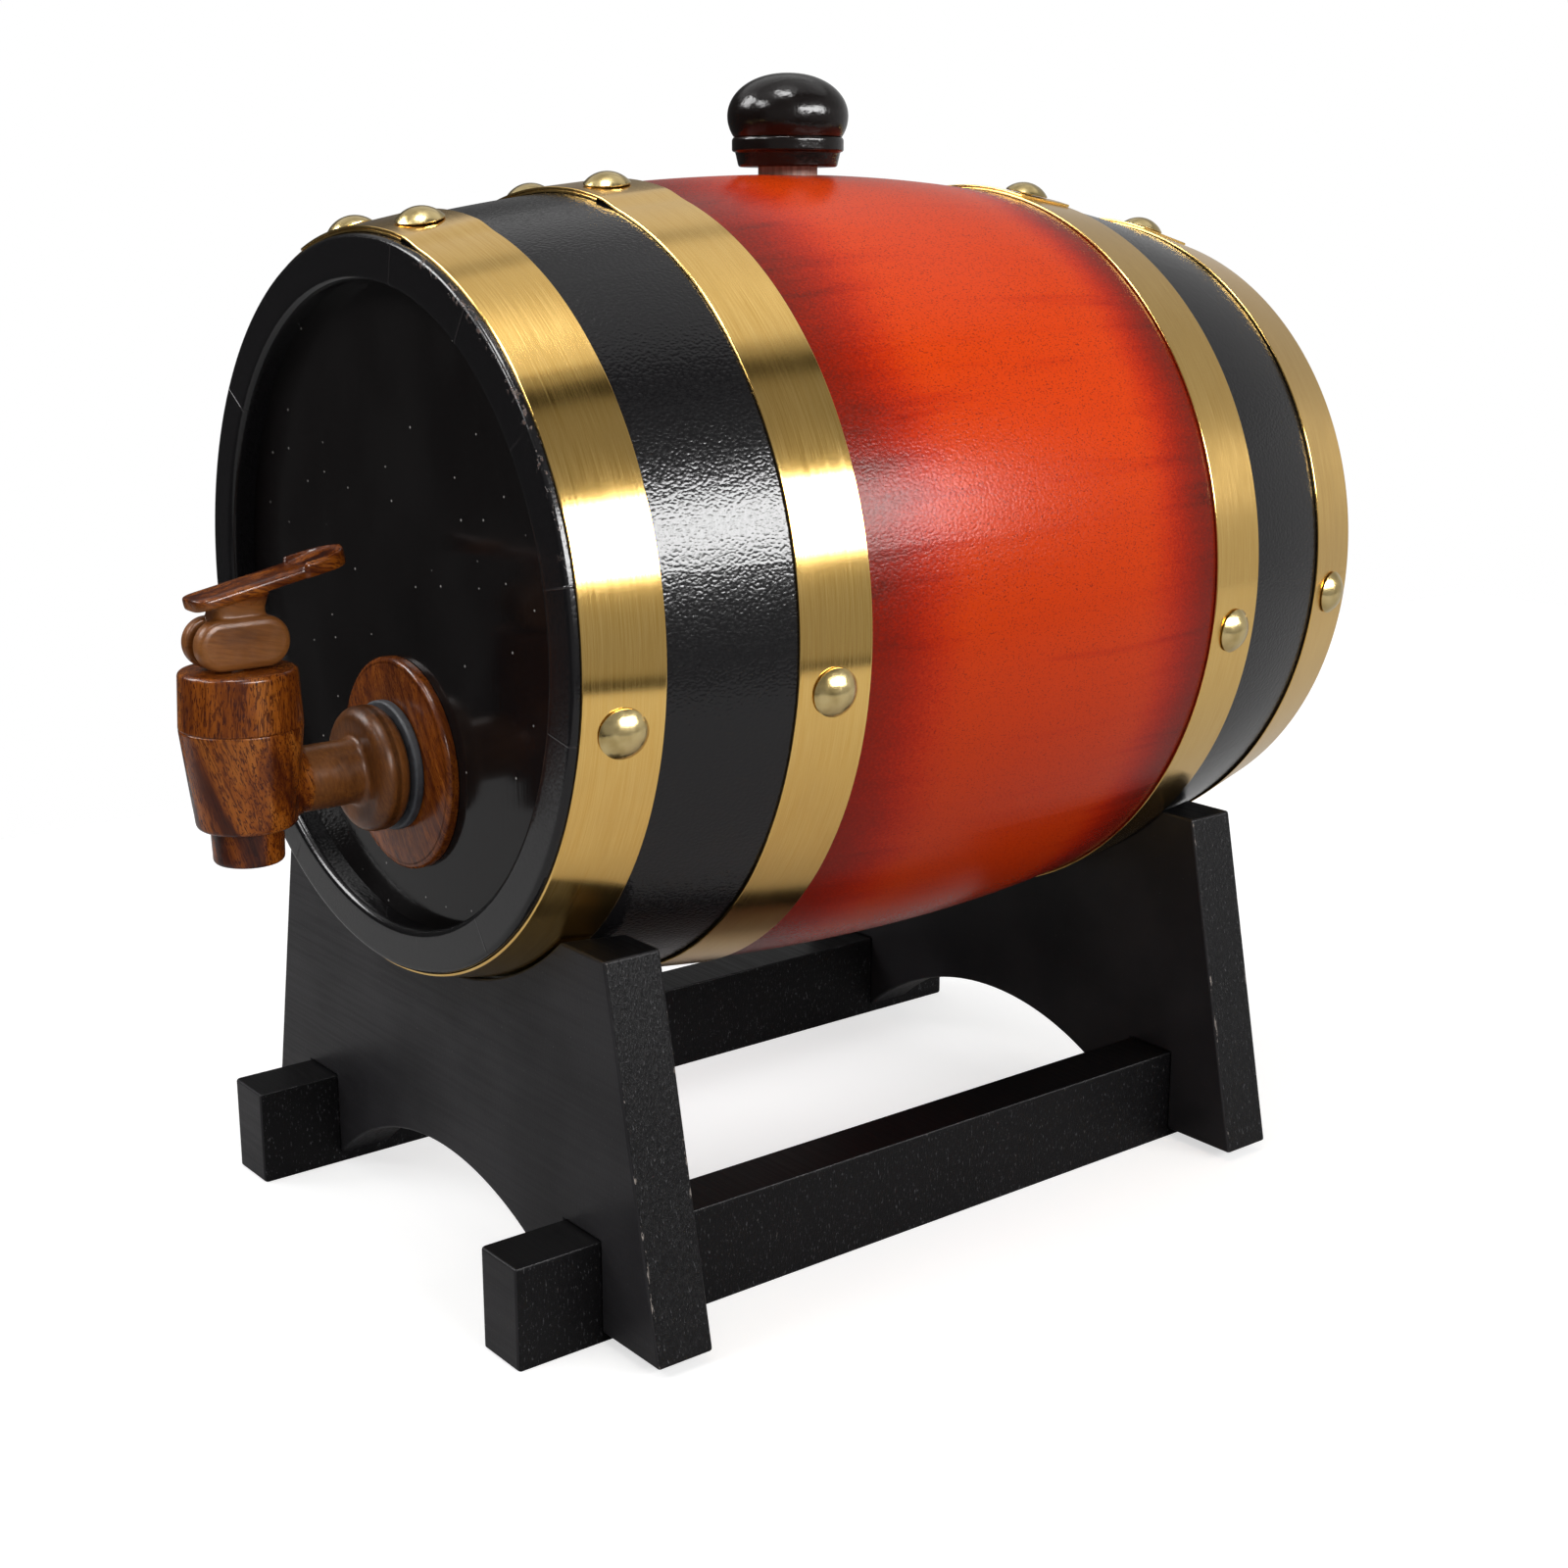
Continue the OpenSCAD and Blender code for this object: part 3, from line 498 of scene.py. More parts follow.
# ---------------------------------------------------------------- Hoops
# Four hoops of brushed brass strip, each bent round the cask like a slice of a cone, lapped at the top and
# riveted. The strip's edges are dressed round; the brush marks run along it.
HOOP_W, HOOP_T, HOOP_SEAT = 0.0145, 0.0005, 0.0001
LAP_FROM, LAP_TO = -20.0, 14.0
RAMP_FROM, RAMP_TO = 12.5, 18.0
LAYER_GAP, END_BARE = 0.00003, 0.0013
EDGE_ROUND, INNER_ROUND = 0.0002, 0.0001
INNER_HOOP_V, END_HOOP_V = 0.0515, HALF_LEN - END_BARE - HOOP_W / 2
HOOPS = {"front_end": -END_HOOP_V, "front_inner": -INNER_HOOP_V, "back_inner": INNER_HOOP_V,
         "back_end": END_HOOP_V}

strip = rounded([(0, -HOOP_W / 2), (HOOP_T, -HOOP_W / 2), (HOOP_T, HOOP_W / 2), (0, HOOP_W / 2)],
                [INNER_ROUND, EDGE_ROUND, EDGE_ROUND, INNER_ROUND])


def strip_r(v):
    """Radius of a hoop's inner face, which lies on the staves."""
    return stave_r(v) + HOOP_SEAT


def hoop_grid(v):
    """The strip's section carried once round the cask and on under its own start: its height over the staves
    is one thickness and a gap as far as RAMP_FROM, falls smoothly to nothing at RAMP_TO and stays there to
    the end under the lap. The back hoops are lapped the other way round: a = LAP_FROM + LAP_TO - a."""
    angle = np.concatenate([np.linspace(LAP_FROM, RAMP_FROM, 30), np.linspace(RAMP_FROM, RAMP_TO, 14)[1:],
                            np.linspace(RAMP_TO, 360 + RAMP_FROM - 0.2, 236)[1:]])
    fall = np.clip((angle - RAMP_FROM) / (RAMP_TO - RAMP_FROM), 0, 1)
    lift = (HOOP_T + LAYER_GAP) * (0.5 + 0.5 * np.cos(np.pi * fall))
    if v > 0:
        angle = LAP_FROM + LAP_TO - angle
    low, high = strip_r(v - HOOP_W / 2), strip_r(v + HOOP_W / 2)
    r = low + (high - low) * (strip[None, :, 1] / HOOP_W + 0.5) + strip[None, :, 0] + lift[:, None]
    angle = np.radians(angle)[:, None]
    along = v + strip[None, :, 1] + 0 * angle
    return np.stack([r * np.sin(angle), along, r * np.cos(angle)], axis=-1) + cask_centre


def brushed(name):
    """Brass with brush marks round the Y axis: noise that is fine across the strip and long along it."""
    brass = Finish(name, cask_centre)
    marks = brass.noise((0.012, 0.00010, 0.012), detail=3, roughness=0.65)
    wide = brass.noise((0.05, 0.0012, 0.05), detail=2)
    patina = brass.noise(0.02, detail=3)
    colour = brass.blend(brass.step(marks, 0.3, 0.7), (0.76, 0.46, 0.12), (0.88, 0.59, 0.20))
    colour = brass.blend(brass.step(patina, 0.45, 0.75, 0.0, 0.25), colour, (0.66, 0.42, 0.15))
    colour = brass.blend(brass.step(wide, 0.55, 0.75, 0.0, 0.08), colour, (0.58, 0.37, 0.13))
    rough = brass.plus(brass.step(marks, 0.3, 0.7, 0.12, 0.18), brass.step(patina, 0.4, 0.7, 0.0, 0.04))
    tangent = brass.add("Tangent", direction_type="RADIAL", axis="Y")
    return brass.shade(Base_Color=colour, Metallic=1.0, Roughness=rough, Anisotropic=0.8,
                       Anisotropic_Rotation=0.25, Tangent=tangent, Normal=brass.bump(marks, 0.000004))


brass_finish = brushed("hoop_brass")
for end, v in HOOPS.items():
    hoop = make(f"{end}_hoop_strip", [skin(hoop_grid(v), ends=True)], brass_finish)
    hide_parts(f"{end}_hoop")
    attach(hoop, "cask")


# ---------------------------------------------------------------- Rivets
# Four round-headed brass rivets hold each hoop, the two at the top through both layers of its lap. Their
# heads are domed and polished by the setting tool, with a small land where they meet the strip.
RIVET_ANGLES = {"front_end": (-82.0, -14.5, 7.0, 99.5), "front_inner": (-82.0, -14.5, 6.5, 96.5),
                "back_inner": (-82.0, -14.5, 9.5, 97.5), "back_end": (-82.0, -14.5, 8.0, 96.0)}
RIVET_R, RIVET_H, SHANK_R, SHANK_DEPTH = 0.0044, 0.0023, 0.0013, 0.005
LAND, LAND_ROUND = 0.00025, 0.00012


def turned(profile, steps=96):
    """A profile of (radius, height) carried round the Z axis: x = r cos a, y = r sin a, z = h."""
    angle = np.linspace(0, 2 * np.pi, steps, endpoint=False)
    r, h = profile[:, 0, None], profile[:, 1, None]
    return np.stack([r * np.cos(angle), r * np.sin(angle), h + 0 * angle], axis=-1)


def settle(points, at=(0, 0, 0), tilt=0.0, roll=0.0):
    """Turns points about X by tilt, then about Y by roll, and moves them: y = y cos t - z sin t and so on."""
    t, a = math.radians(tilt), math.radians(roll)
    x, y, z = np.moveaxis(points, -1, 0)
    y, z = y * math.cos(t) - z * math.sin(t), y * math.sin(t) + z * math.cos(t)
    x, z = x * math.cos(a) + z * math.sin(a), z * math.cos(a) - x * math.sin(a)
    return np.stack([x, y, z], axis=-1) + np.asarray(at)


dome_h = RIVET_H - LAND
dome_r = (RIVET_R ** 2 + dome_h ** 2) / (2 * dome_h)
dome_end = math.asin(RIVET_R / dome_r)
bow = np.linspace(0, dome_end, 20)
dome = np.stack([dome_r * np.sin(bow), RIVET_H - dome_r + dome_r * np.cos(bow)], axis=-1)
rivet_profile = np.concatenate([
    dome, [(RIVET_R, LAND * 0.5), (RIVET_R - LAND_ROUND, 0.0), (SHANK_R, 0.0), (SHANK_R, -SHANK_DEPTH),
           (0.0, -SHANK_DEPTH)]])

polish = Finish("rivet_brass", cask_centre)
haze = polish.noise(0.0009, detail=3, roughness=0.6)
smear = polish.noise(0.0035, detail=2)
polish_colour = polish.blend(polish.step(smear, 0.35, 0.7), (0.66, 0.52, 0.25), (0.48, 0.36, 0.15))
rivet_finish = polish.shade(Base_Color=polish_colour, Metallic=1.0,
                            Roughness=polish.step(haze, 0.3, 0.7, 0.17, 0.25),
                            Normal=polish.bump(haze, 0.00001))
for end, v in HOOPS.items():
    slope = math.degrees(math.atan2(strip_r(v + HOOP_W / 2) - strip_r(v - HOOP_W / 2), HOOP_W))
    heads = []
    for angle in RIVET_ANGLES[end]:
        lift = HOOP_T if LAP_FROM < angle < LAP_TO else 0.0
        head = turned(rivet_profile, 72) + (0, 0, lift + HEAD_GAP)
        head = settle(head, (0, v, strip_r(v) + HOOP_T), tilt=slope)
        heads.append(skin(settle(head, cask_centre, roll=angle)))
    rivets = make(f"{end}_rivets_domed", heads, rivet_finish)
    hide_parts(f"{end}_rivets")
    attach(rivets, "cask")


# ---------------------------------------------------------------- Stopper
# A knob turned in one piece, with a tapered neck, a bead, a groove and a flattened ball, lacquered black,
# with a painted reflection of the orange belly in red-brown in its groove and on its bead; a pale plug is
# glued into it and fits the bung hole.
knob_low, knob_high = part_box("stopper_knob")
knob_foot = np.array([0.0, cask_centre[1] + BUNG_V, knob_low.z])
KNOB_R = (knob_high.x - knob_low.x) / 2
KNOB_H = knob_high.z - knob_low.z
BALL_Z, BALL_LOW_H, BALL_SQUARE = 0.0097, 0.00895, 0.93
BEAD_Z, GROOVE_Z = 0.0029, 0.0058
low_ball, high_ball = np.radians(np.linspace(-25.8, 0, 8)), np.radians(np.linspace(0, 90, 26)[1:-1])
ball_side = [(KNOB_R * math.cos(a), BALL_Z + BALL_LOW_H * math.sin(a)) for a in low_ball]
ball_top = [(KNOB_R * math.cos(a) ** BALL_SQUARE, BALL_Z + (KNOB_H - BALL_Z) * math.sin(a))
            for a in high_ball]
neck = rounded([(0.0, 0.0), (0.0098, 0.0), (0.01045, 0.0028), (0.0111, 0.0030), (0.0111, 0.0056),
                (0.0105, GROOVE_Z)], [0, 0.0006, 0.0003, 0.0005, 0.0009, 0], steps=5, hold=0.2)
knob_profile = np.concatenate([neck, ball_side, ball_top, [(0.0, KNOB_H)]])

gloss = Finish("black_turned_wood", knob_foot)
knob_up = gloss.axes()[2]
reflection_and_gloss_noise = gloss.noise((0.004, 0.004, 0.0012), detail=4, roughness=0.6)
# Painted reflection of the orange belly: a red-brown tint in the groove under the ball and on the bead.
groove_reflection = gloss.step(gloss.off(knob_up, GROOVE_Z), 0.0006, 0.0002)
bead_reflection = gloss.step(gloss.off(knob_up, BEAD_Z), 0.0005, 0.0001)
painted_belly_reflection = gloss.times(gloss.maths("MAXIMUM", groove_reflection, bead_reflection), gloss.step(reflection_and_gloss_noise, 0.42, 0.66, 0.0, 0.7))
gloss_colour = gloss.blend(painted_belly_reflection, (0.006, 0.004, 0.0035), (0.045, 0.011, 0.006))
knob_peel = gloss.noise(0.0008, detail=1)
knob_finish = gloss.shade(Base_Color=gloss_colour, Roughness=gloss.step(reflection_and_gloss_noise, 0.3, 0.7, 0.15, 0.22),
                          Specular_IOR_Level=0.27, Normal=gloss.bump(knob_peel, 0.00005))
knob = make("stopper_knob_turned", [skin(turned(knob_profile) + knob_foot)], knob_finish)
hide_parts("stopper_knob")
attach(knob, "stopper")

plug_low, plug_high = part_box("stopper_plug")
PLUG_R = (plug_high.x - plug_low.x) / 2
plug_foot = np.array([0.0, knob_foot[1], plug_low.z])
PLUG_H, PLUG_TAPER = plug_high.z - plug_low.z, 0.001
plug_profile = rounded([(0.0, 0.0), (PLUG_R - PLUG_TAPER, 0.0), (PLUG_R, PLUG_TAPER), (PLUG_R, PLUG_H),
                        (0.0, PLUG_H)], [0, 0.0004, 0.0008, 0.0003, 0], steps=4)
pale = Finish("pale_wood", plug_foot)
pale_grain = pale.noise((0.0006, 0.0006, 0.008), detail=3, distortion=0.3)
pale_blot = pale.noise(0.003, detail=3)
pale_colour = pale.ramp(pale_grain, (0.25, (0.24, 0.115, 0.080)), (0.5, (0.40, 0.205, 0.150)),
                        (0.75, (0.50, 0.29, 0.22)))
pale_colour = pale.blend(pale.step(pale_blot, 0.5, 0.75, 0.0, 0.35), pale_colour, (0.20, 0.055, 0.030))
pale_finish = pale.shade(Base_Color=pale_colour, Roughness=0.62, Normal=pale.bump(pale_grain, 0.00006))
plug = make("stopper_plug_turned", [skin(turned(plug_profile, 64) + plug_foot)], pale_finish)
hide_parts("stopper_plug")
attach(plug, "stopper")


# ---------------------------------------------------------------- Tap plate and washer
# A thin round plate with a wood print, slightly domed to its rim, lies on the head behind the tap; a
# blue-grey rubber washer seals the tap's collar against it.
plate_low, plate_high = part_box("tap_plate")
tap_z = (plate_low.z + plate_high.z) / 2
stem_foot = np.array([0.0, plate_high.y, tap_z])
PLATE_R = (plate_high.z - plate_low.z) / 2
PLATE_T = plate_high.y - plate_low.y
FLAT_R, DOME_FALL = 0.0128, 0.0006
BORE_R = 0.00605

GRAIN_BROWNS = ((0.22, (0.028, 0.0060, 0.003)), (0.38, (0.080, 0.016, 0.003)), (0.52, (0.175, 0.040, 0.004)),
                (0.68, (0.27, 0.068, 0.006)), (0.90, (0.38, 0.115, 0.014)))
PLAIN_BROWNS = ((0.30, (0.070, 0.022, 0.005)), (0.52, (0.22, 0.078, 0.017)), (0.75, (0.33, 0.135, 0.036)))
THREAD_BROWN, PORE_BROWN, WARP_BROWN = (0.060, 0.011, 0.003), (0.045, 0.009, 0.004), (0.15, 0.036, 0.010)


def wood_print(name, centre, turn=(0, 0, 0), bend=0.5, light=0.0, pore_share=0.9, blur=1.0, band=0.0046,
               contrast=1.5, plain=None, plain_light=0.0):
    """Printed grain that runs along the turned Z axis: wide dark bands, a finer fibre and short dark pores.
    plain is an axis and two places along it: the print is stretched pale and smooth from one to the other."""
    film = Finish(name, centre)
    warp = film.noise((0.012, 0.012, 0.02), turn, detail=1)
    bands = film.noise((band, band, 0.040), turn, detail=2, roughness=0.4, distortion=bend)
    fibre = film.noise((0.00055 * blur, 0.00055 * blur, 0.006), turn, detail=3, roughness=0.6, distortion=0.2)
    pores = film.noise((0.00030 * blur, 0.00030 * blur, 0.0015), turn, detail=1.5, distortion=0.8)
    threads = film.noise((0.0005 * blur, 0.0005 * blur, 0.0042), turn, detail=1, distortion=1.3)
    tone = film.times(film.maths("SUBTRACT", bands, 0.5), contrast, 0.56)
    tone = film.times(film.maths("SUBTRACT", fibre, 0.5), 0.45, tone)
    tone = film.plus(tone, light)
    colour = film.ramp(tone, *GRAIN_BROWNS)
    colour = film.blend(film.step(threads, 0.54, 0.60, 0.0, 0.75), colour, THREAD_BROWN)
    colour = film.blend(film.step(pores, 0.57, 0.62, 0.0, pore_share), colour, PORE_BROWN)
    colour = film.blend(film.step(warp, 0.5, 0.8, 0.0, 0.3), colour, WARP_BROWN)
    if plain:
        axis, start, end = plain
        along = film.axes()[axis]
        smooth = film.ramp(film.times(fibre, 0.35, film.times(warp, 0.75, plain_light)), *PLAIN_BROWNS)
        colour = film.blend(film.step(along, start, end, 0.0, 0.88), colour, smooth)
    relief = film.bump(fibre, 0.000012)
    peel = film.noise(0.0016)
    rough = film.step(peel, 0.3, 0.7, 0.18, 0.27)
    if plain:
        rough = film.plus(rough, film.step(along, start, end, 0.0, 0.12))
    return film.shade(Base_Color=colour, Roughness=rough, Specular_IOR_Level=0.24,
                      Normal=film.bump(peel, 0.00003, relief))


rim_r = np.linspace(FLAT_R, PLATE_R, 9)
rim_z = PLATE_T - DOME_FALL * ((rim_r - FLAT_R) / (PLATE_R - FLAT_R)) ** 2
plate_corners = [(BORE_R, 0.0), (PLATE_R, 0.0)] + list(zip(rim_r[::-1], rim_z[::-1])) + [(BORE_R, PLATE_T)]
plate_section = rounded(plate_corners, [0, 0.0002, 0.0009] + [0] * 9, steps=6)
plate_print = wood_print("wood_print_plate", stem_foot, turn=(8, -28, 0), bend=0.2, pore_share=0.3, blur=0.7,
                         band=0.0014, contrast=0.7)
plate = make("tap_plate_printed", [skin(settle(turned(plate_section), stem_foot, tilt=90), along=True)],
             plate_print)
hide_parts("tap_plate")
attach(plate, "cask")

washer_low, washer_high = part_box("tap_washer")
WASHER_R, WASHER_T = (washer_high.x - washer_low.x) / 2, washer_high.y - washer_low.y
washer_section = rounded([(BORE_R, PLATE_T), (WASHER_R, PLATE_T), (WASHER_R, PLATE_T + WASHER_T),
                          (BORE_R, PLATE_T + WASHER_T)], [0, 0.0005, 0.0005, 0])
rubber = Finish("grey_rubber", stem_foot)
bloom = rubber.noise(0.0015, detail=4, roughness=0.65)
rubber_colour = rubber.blend(rubber.step(bloom, 0.3, 0.7), (0.022, 0.025, 0.032), (0.042, 0.047, 0.057))
rubber_finish = rubber.shade(Base_Color=rubber_colour, Roughness=rubber.step(bloom, 0.3, 0.7, 0.5, 0.65),
                             Normal=rubber.bump(bloom, 0.00003))
washer = make("tap_washer_moulded", [skin(settle(turned(washer_section), stem_foot, tilt=90), along=True)],
              rubber_finish)
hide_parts("tap_washer")
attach(washer, "cask")
dress("tap_gasket", rubber_finish)


# ---------------------------------------------------------------- Tap body
# One hollow moulding with a wood print: shank, rounded collar and stem along the head's normal, then the
# tapered valve chamber with its nozzle. The print blurs and lightens on the collar and the stem.
VALVE_OUT = 0.032
tap_y = stem_foot[1] - VALVE_OUT
valve_foot = np.array([0.0, tap_y, tap_z])
SHANK_TO, STEM_TO = -0.018, 0.0195
COLLAR_FROM, COLLAR_TO, COLLAR_R = PLATE_T + WASHER_T, PLATE_T + WASHER_T + 0.0062, 0.0117
STEM_R, STEM_BORE = 0.006, 0.0032
VALVE_R, VALVE_LOW_R, SEAM_Z, VALVE_LOW = 0.0109, 0.0088, 0.0115, -0.0068
NOZZLE_R, NOZZLE_Z, OUTLET_R, NOZZLE_TAPER = 0.0065, -0.0133, 0.0035, 0.0002
CAVITY_R, FLOOR_Z = 0.007, -0.004
FLARE, STEM_INTO = 0.0014, 0.0012

stem_section = rounded([(0.0, SHANK_TO), (STEM_R, SHANK_TO), (STEM_R, COLLAR_FROM), (COLLAR_R, COLLAR_FROM),
                        (COLLAR_R, COLLAR_TO), (STEM_R, COLLAR_TO), (STEM_R, STEM_TO)],
                       [0, 0.0006, 0, 0.0024, 0.0024, 0.0010, 0], steps=8)


def stem_grid(steps=96):
    """The stem's profile carried round its axis, then seven rings that end on the valve's wall: the wall
    stands sqrt(R(z)^2 - x^2) from the valve's axis, and the radius grows by a quarter circle there."""
    shaft = turned(stem_section, steps)
    a = np.linspace(0, 2 * np.pi, steps, endpoint=False)
    rings = []
    for share in np.linspace(0.0, 1.0, 7):
        r = STEM_R + FLARE * (1 - math.cos(share * math.pi / 2))
        x, z = r * np.cos(a), r * np.sin(a)
        wall = VALVE_LOW_R + (VALVE_R - VALVE_LOW_R) * (z - VALVE_LOW) / (SEAM_Z - VALVE_LOW)
        gap = np.sqrt(wall ** 2 - x ** 2) + FLARE * (1 - math.sin(share * math.pi / 2))
        rings.append(np.stack([x, z, VALVE_OUT - gap], axis=-1))
    inside = rings[-1] + (0, 0, STEM_INTO)
    centre = np.zeros((1, steps, 3)) + inside.mean(axis=0)
    return np.concatenate([shaft, np.stack(rings), inside[None], centre])


valve_section = rounded([
    (OUTLET_R, NOZZLE_Z), (NOZZLE_R - NOZZLE_TAPER, NOZZLE_Z), (NOZZLE_R, VALVE_LOW),
    (VALVE_LOW_R, VALVE_LOW), (VALVE_R, SEAM_Z), (CAVITY_R, SEAM_Z), (CAVITY_R, FLOOR_Z),
    (OUTLET_R, FLOOR_Z)], [0.0002, 0.0009, 0.0005, 0.0012, 0.0003, 0, 0, 0], steps=6)
bore = np.array([(0.0, SHANK_TO - 0.001), (STEM_BORE, SHANK_TO - 0.001), (STEM_BORE, VALVE_OUT),
                 (0.0, VALVE_OUT)])
body_print = wood_print("wood_print_tap", valve_foot, turn=(13, -11, 0), bend=0.9, light=0.03, contrast=1.9,
                        plain=(1, 0.0098, 0.0112), plain_light=-0.09)
tap_body = make("tap_body_printed", [skin(turned(valve_section, 128) + valve_foot, along=True)], body_print)
carve(tap_body, [skin(settle(stem_grid(), stem_foot, tilt=90))], "UNION")
carve(tap_body, [skin(settle(turned(bore, 64), stem_foot, tilt=90))])
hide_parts("tap_body")
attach(tap_body, "cask")


# ---------------------------------------------------------------- Tap cap
# The chamber's cap, moulded apart and pressed into it, so that a thin seam shows between the two; its own
# print doesn't meet the body's. A small hole in the top lets the spindle through.
CAP_TOP_R, CAP_H, SPINDLE_HOLE = 0.0104, 0.0103, 0.00116
CAP_BORE_R, CAP_PLUG, CAP_PLATE = 0.0054, 0.004, 0.0028
cap_section = rounded([
    (SPINDLE_HOLE, CAP_H), (CAP_TOP_R, CAP_H), (VALVE_R, 0.0), (CAVITY_R - HEAD_GAP, 0.0),
    (CAVITY_R - HEAD_GAP, -CAP_PLUG), (CAP_BORE_R, -CAP_PLUG), (CAP_BORE_R, CAP_H - CAP_PLATE),
    (SPINDLE_HOLE, CAP_H - CAP_PLATE)], [0, 0.0009, 0.0003, 0, 0.0002, 0.0002, 0, 0], steps=6)
cap_foot = valve_foot + (0, 0, SEAM_Z)
cap_print = wood_print("wood_print_cap", cap_foot + (0.004, 0.0, 0.013), turn=(-3, 2, 0), bend=0.7,
                       light=0.13, contrast=1.2)
cap = make("tap_cap_printed", [skin(turned(cap_section, 128) + cap_foot, along=True)], cap_print)
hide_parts("tap_cap")
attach(cap, "cask")


# ---------------------------------------------------------------- Nut and valve
# Inside: the plastic nut that clamps the tap, and the valve, a moulded plunger with its rubber seal and a
# steel spring that holds it shut.
plastic = Finish("white_plastic", valve_foot)
flow = plastic.noise(0.004, detail=3)
plastic_colour = plastic.blend(plastic.step(flow, 0.3, 0.7), (0.70, 0.69, 0.65), (0.78, 0.77, 0.73))
plastic_finish = plastic.shade(Base_Color=plastic_colour, Roughness=plastic.step(flow, 0.3, 0.7, 0.3, 0.42),
                               Normal=plastic.bump(flow, 0.00002))
dress("tap_nut", plastic_finish)
dress("valve_plunger", plastic_finish)

seal = Finish("black_rubber", valve_foot)
seal_bloom = seal.noise(0.001, detail=4)
seal_finish = seal.shade(Base_Color=seal.blend(seal_bloom, (0.012, 0.012, 0.013), (0.03, 0.03, 0.032)),
                         Roughness=seal.step(seal_bloom, 0.3, 0.7, 0.5, 0.7),
                         Normal=seal.bump(seal_bloom, 0.00003))
dress("valve_seal", seal_finish)

steel = Finish("steel", valve_foot)
drawn = steel.noise((0.0003, 0.0003, 0.004))
steel_finish = steel.shade(Base_Color=steel.blend(drawn, (0.50, 0.50, 0.50), (0.66, 0.66, 0.65)),
                           Metallic=1.0, Roughness=steel.step(drawn, 0.3, 0.7, 0.25, 0.4),
                           Normal=steel.bump(drawn, 0.000005))

SPRING_R, WIRE_R, SPRING_TURNS, PLUNGER_TRAVEL = 0.0041, 0.0004, 8, 0.004084
spring_low, spring_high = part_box("valve_spring")


def spring_grid(rings=24 * SPRING_TURNS, sides=10):
    """A round wire carried along a helix: ring i stands at angle 2 pi turns i / rings, and point k of it at
    r = R + w cos b, z = rise + w sin b."""
    a = np.linspace(0, 2 * np.pi * SPRING_TURNS, rings + 1)[:, None]
    b = np.linspace(0, 2 * np.pi, sides, endpoint=False)[None, :]
    rise = np.linspace(spring_low.z + WIRE_R, spring_high.z - WIRE_R, rings + 1)[:, None]
    r = SPRING_R + WIRE_R * np.cos(b)
    return np.stack([r * np.cos(a), r * np.sin(a) + tap_y, rise + WIRE_R * np.sin(b)], axis=-1)


spring = make("valve_spring_wound", [skin(spring_grid(), ends=True)], steel_finish, sharp=60)
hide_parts("valve_spring")
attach(spring, "plunger")
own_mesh(spring)


# ---------------------------------------------------------------- Lever
# A moulded lever with a wood print: two cams either side of the spindle, a waisted neck and a sloping paddle
# with a dished thumb pad. It turns on the plunger's cross-bar; every edge is softened by the mould.
PIVOT_UP = 0.02665
lever_foot = valve_foot + (0, 0, PIVOT_UP)
LEVER_W, SLOT_W = 0.0088, 0.0025
CAM_ROUND, CAM_HALF = 0.0046, 0.0041
CAM_EDGE, CAM_EDGE_FROM, CAM_BREAK = 0.0013, 0.55, 0.0002
PADDLE_UP, PADDLE_T, SLOPE = 0.0076, 0.0023, 11.5
PADDLE_FRONT, TIP_TO, TIP_ROUND = -0.0082, -0.0056, 0.0026
PADDLE_BACK, BACK_FROM, BACK_ROUND = 0.0219, 0.0171, 0.0048
PAD_FROM, PAD_UP, PAD_RISE = 0.0124, 0.001, 0.0004
RIM_W, RIM_SLOPE, RIM_END, DISH_MORE = 0.0007, 0.0006, 0.001, 0.00035
LEVER_VOXEL = 0.00022


def cam_grid(side):
    """A cam: its round-ended outline about the pivot, drawn in by a quarter circle towards the outer face."""
    across = np.linspace(0, 1, 13)
    x = SLOT_W / 2 + (LEVER_W - SLOT_W) / 2 * across
    turn_in = np.clip((across - CAM_EDGE_FROM) / (1 - CAM_EDGE_FROM), 0, 1)
    inset = CAM_EDGE * (1 - np.sqrt(np.clip(1 - turn_in ** 2, 0, 1))) + CAM_BREAK * (across < 0.01)
    a = np.linspace(0, 2 * np.pi, 72, endpoint=False)
    r = (CAM_ROUND - inset)[:, None]
    y = np.sign(np.cos(a)) * CAM_HALF + r * np.cos(a)
    z = r * np.sin(a)
    return np.stack([side * x[:, None] + 0 * y, y, z], axis=-1)


def box_grid(widths, depths, middles, heights, power=4.0, steps=64):
    """A rounded post: at each height a superellipse, |x / w|^n + |(y - m) / d|^n = 1."""
    a = np.linspace(0, 2 * np.pi, steps, endpoint=False)
    c, s = np.cos(a), np.sin(a)
    x = np.sign(c) * np.abs(c) ** (2 / power)
    y = np.sign(s) * np.abs(s) ** (2 / power)
    widths, depths, middles, heights = np.array([widths, depths, middles, heights])[:, :, None]
    return np.stack([widths * x, middles + depths * y, heights + 0 * x], axis=-1)


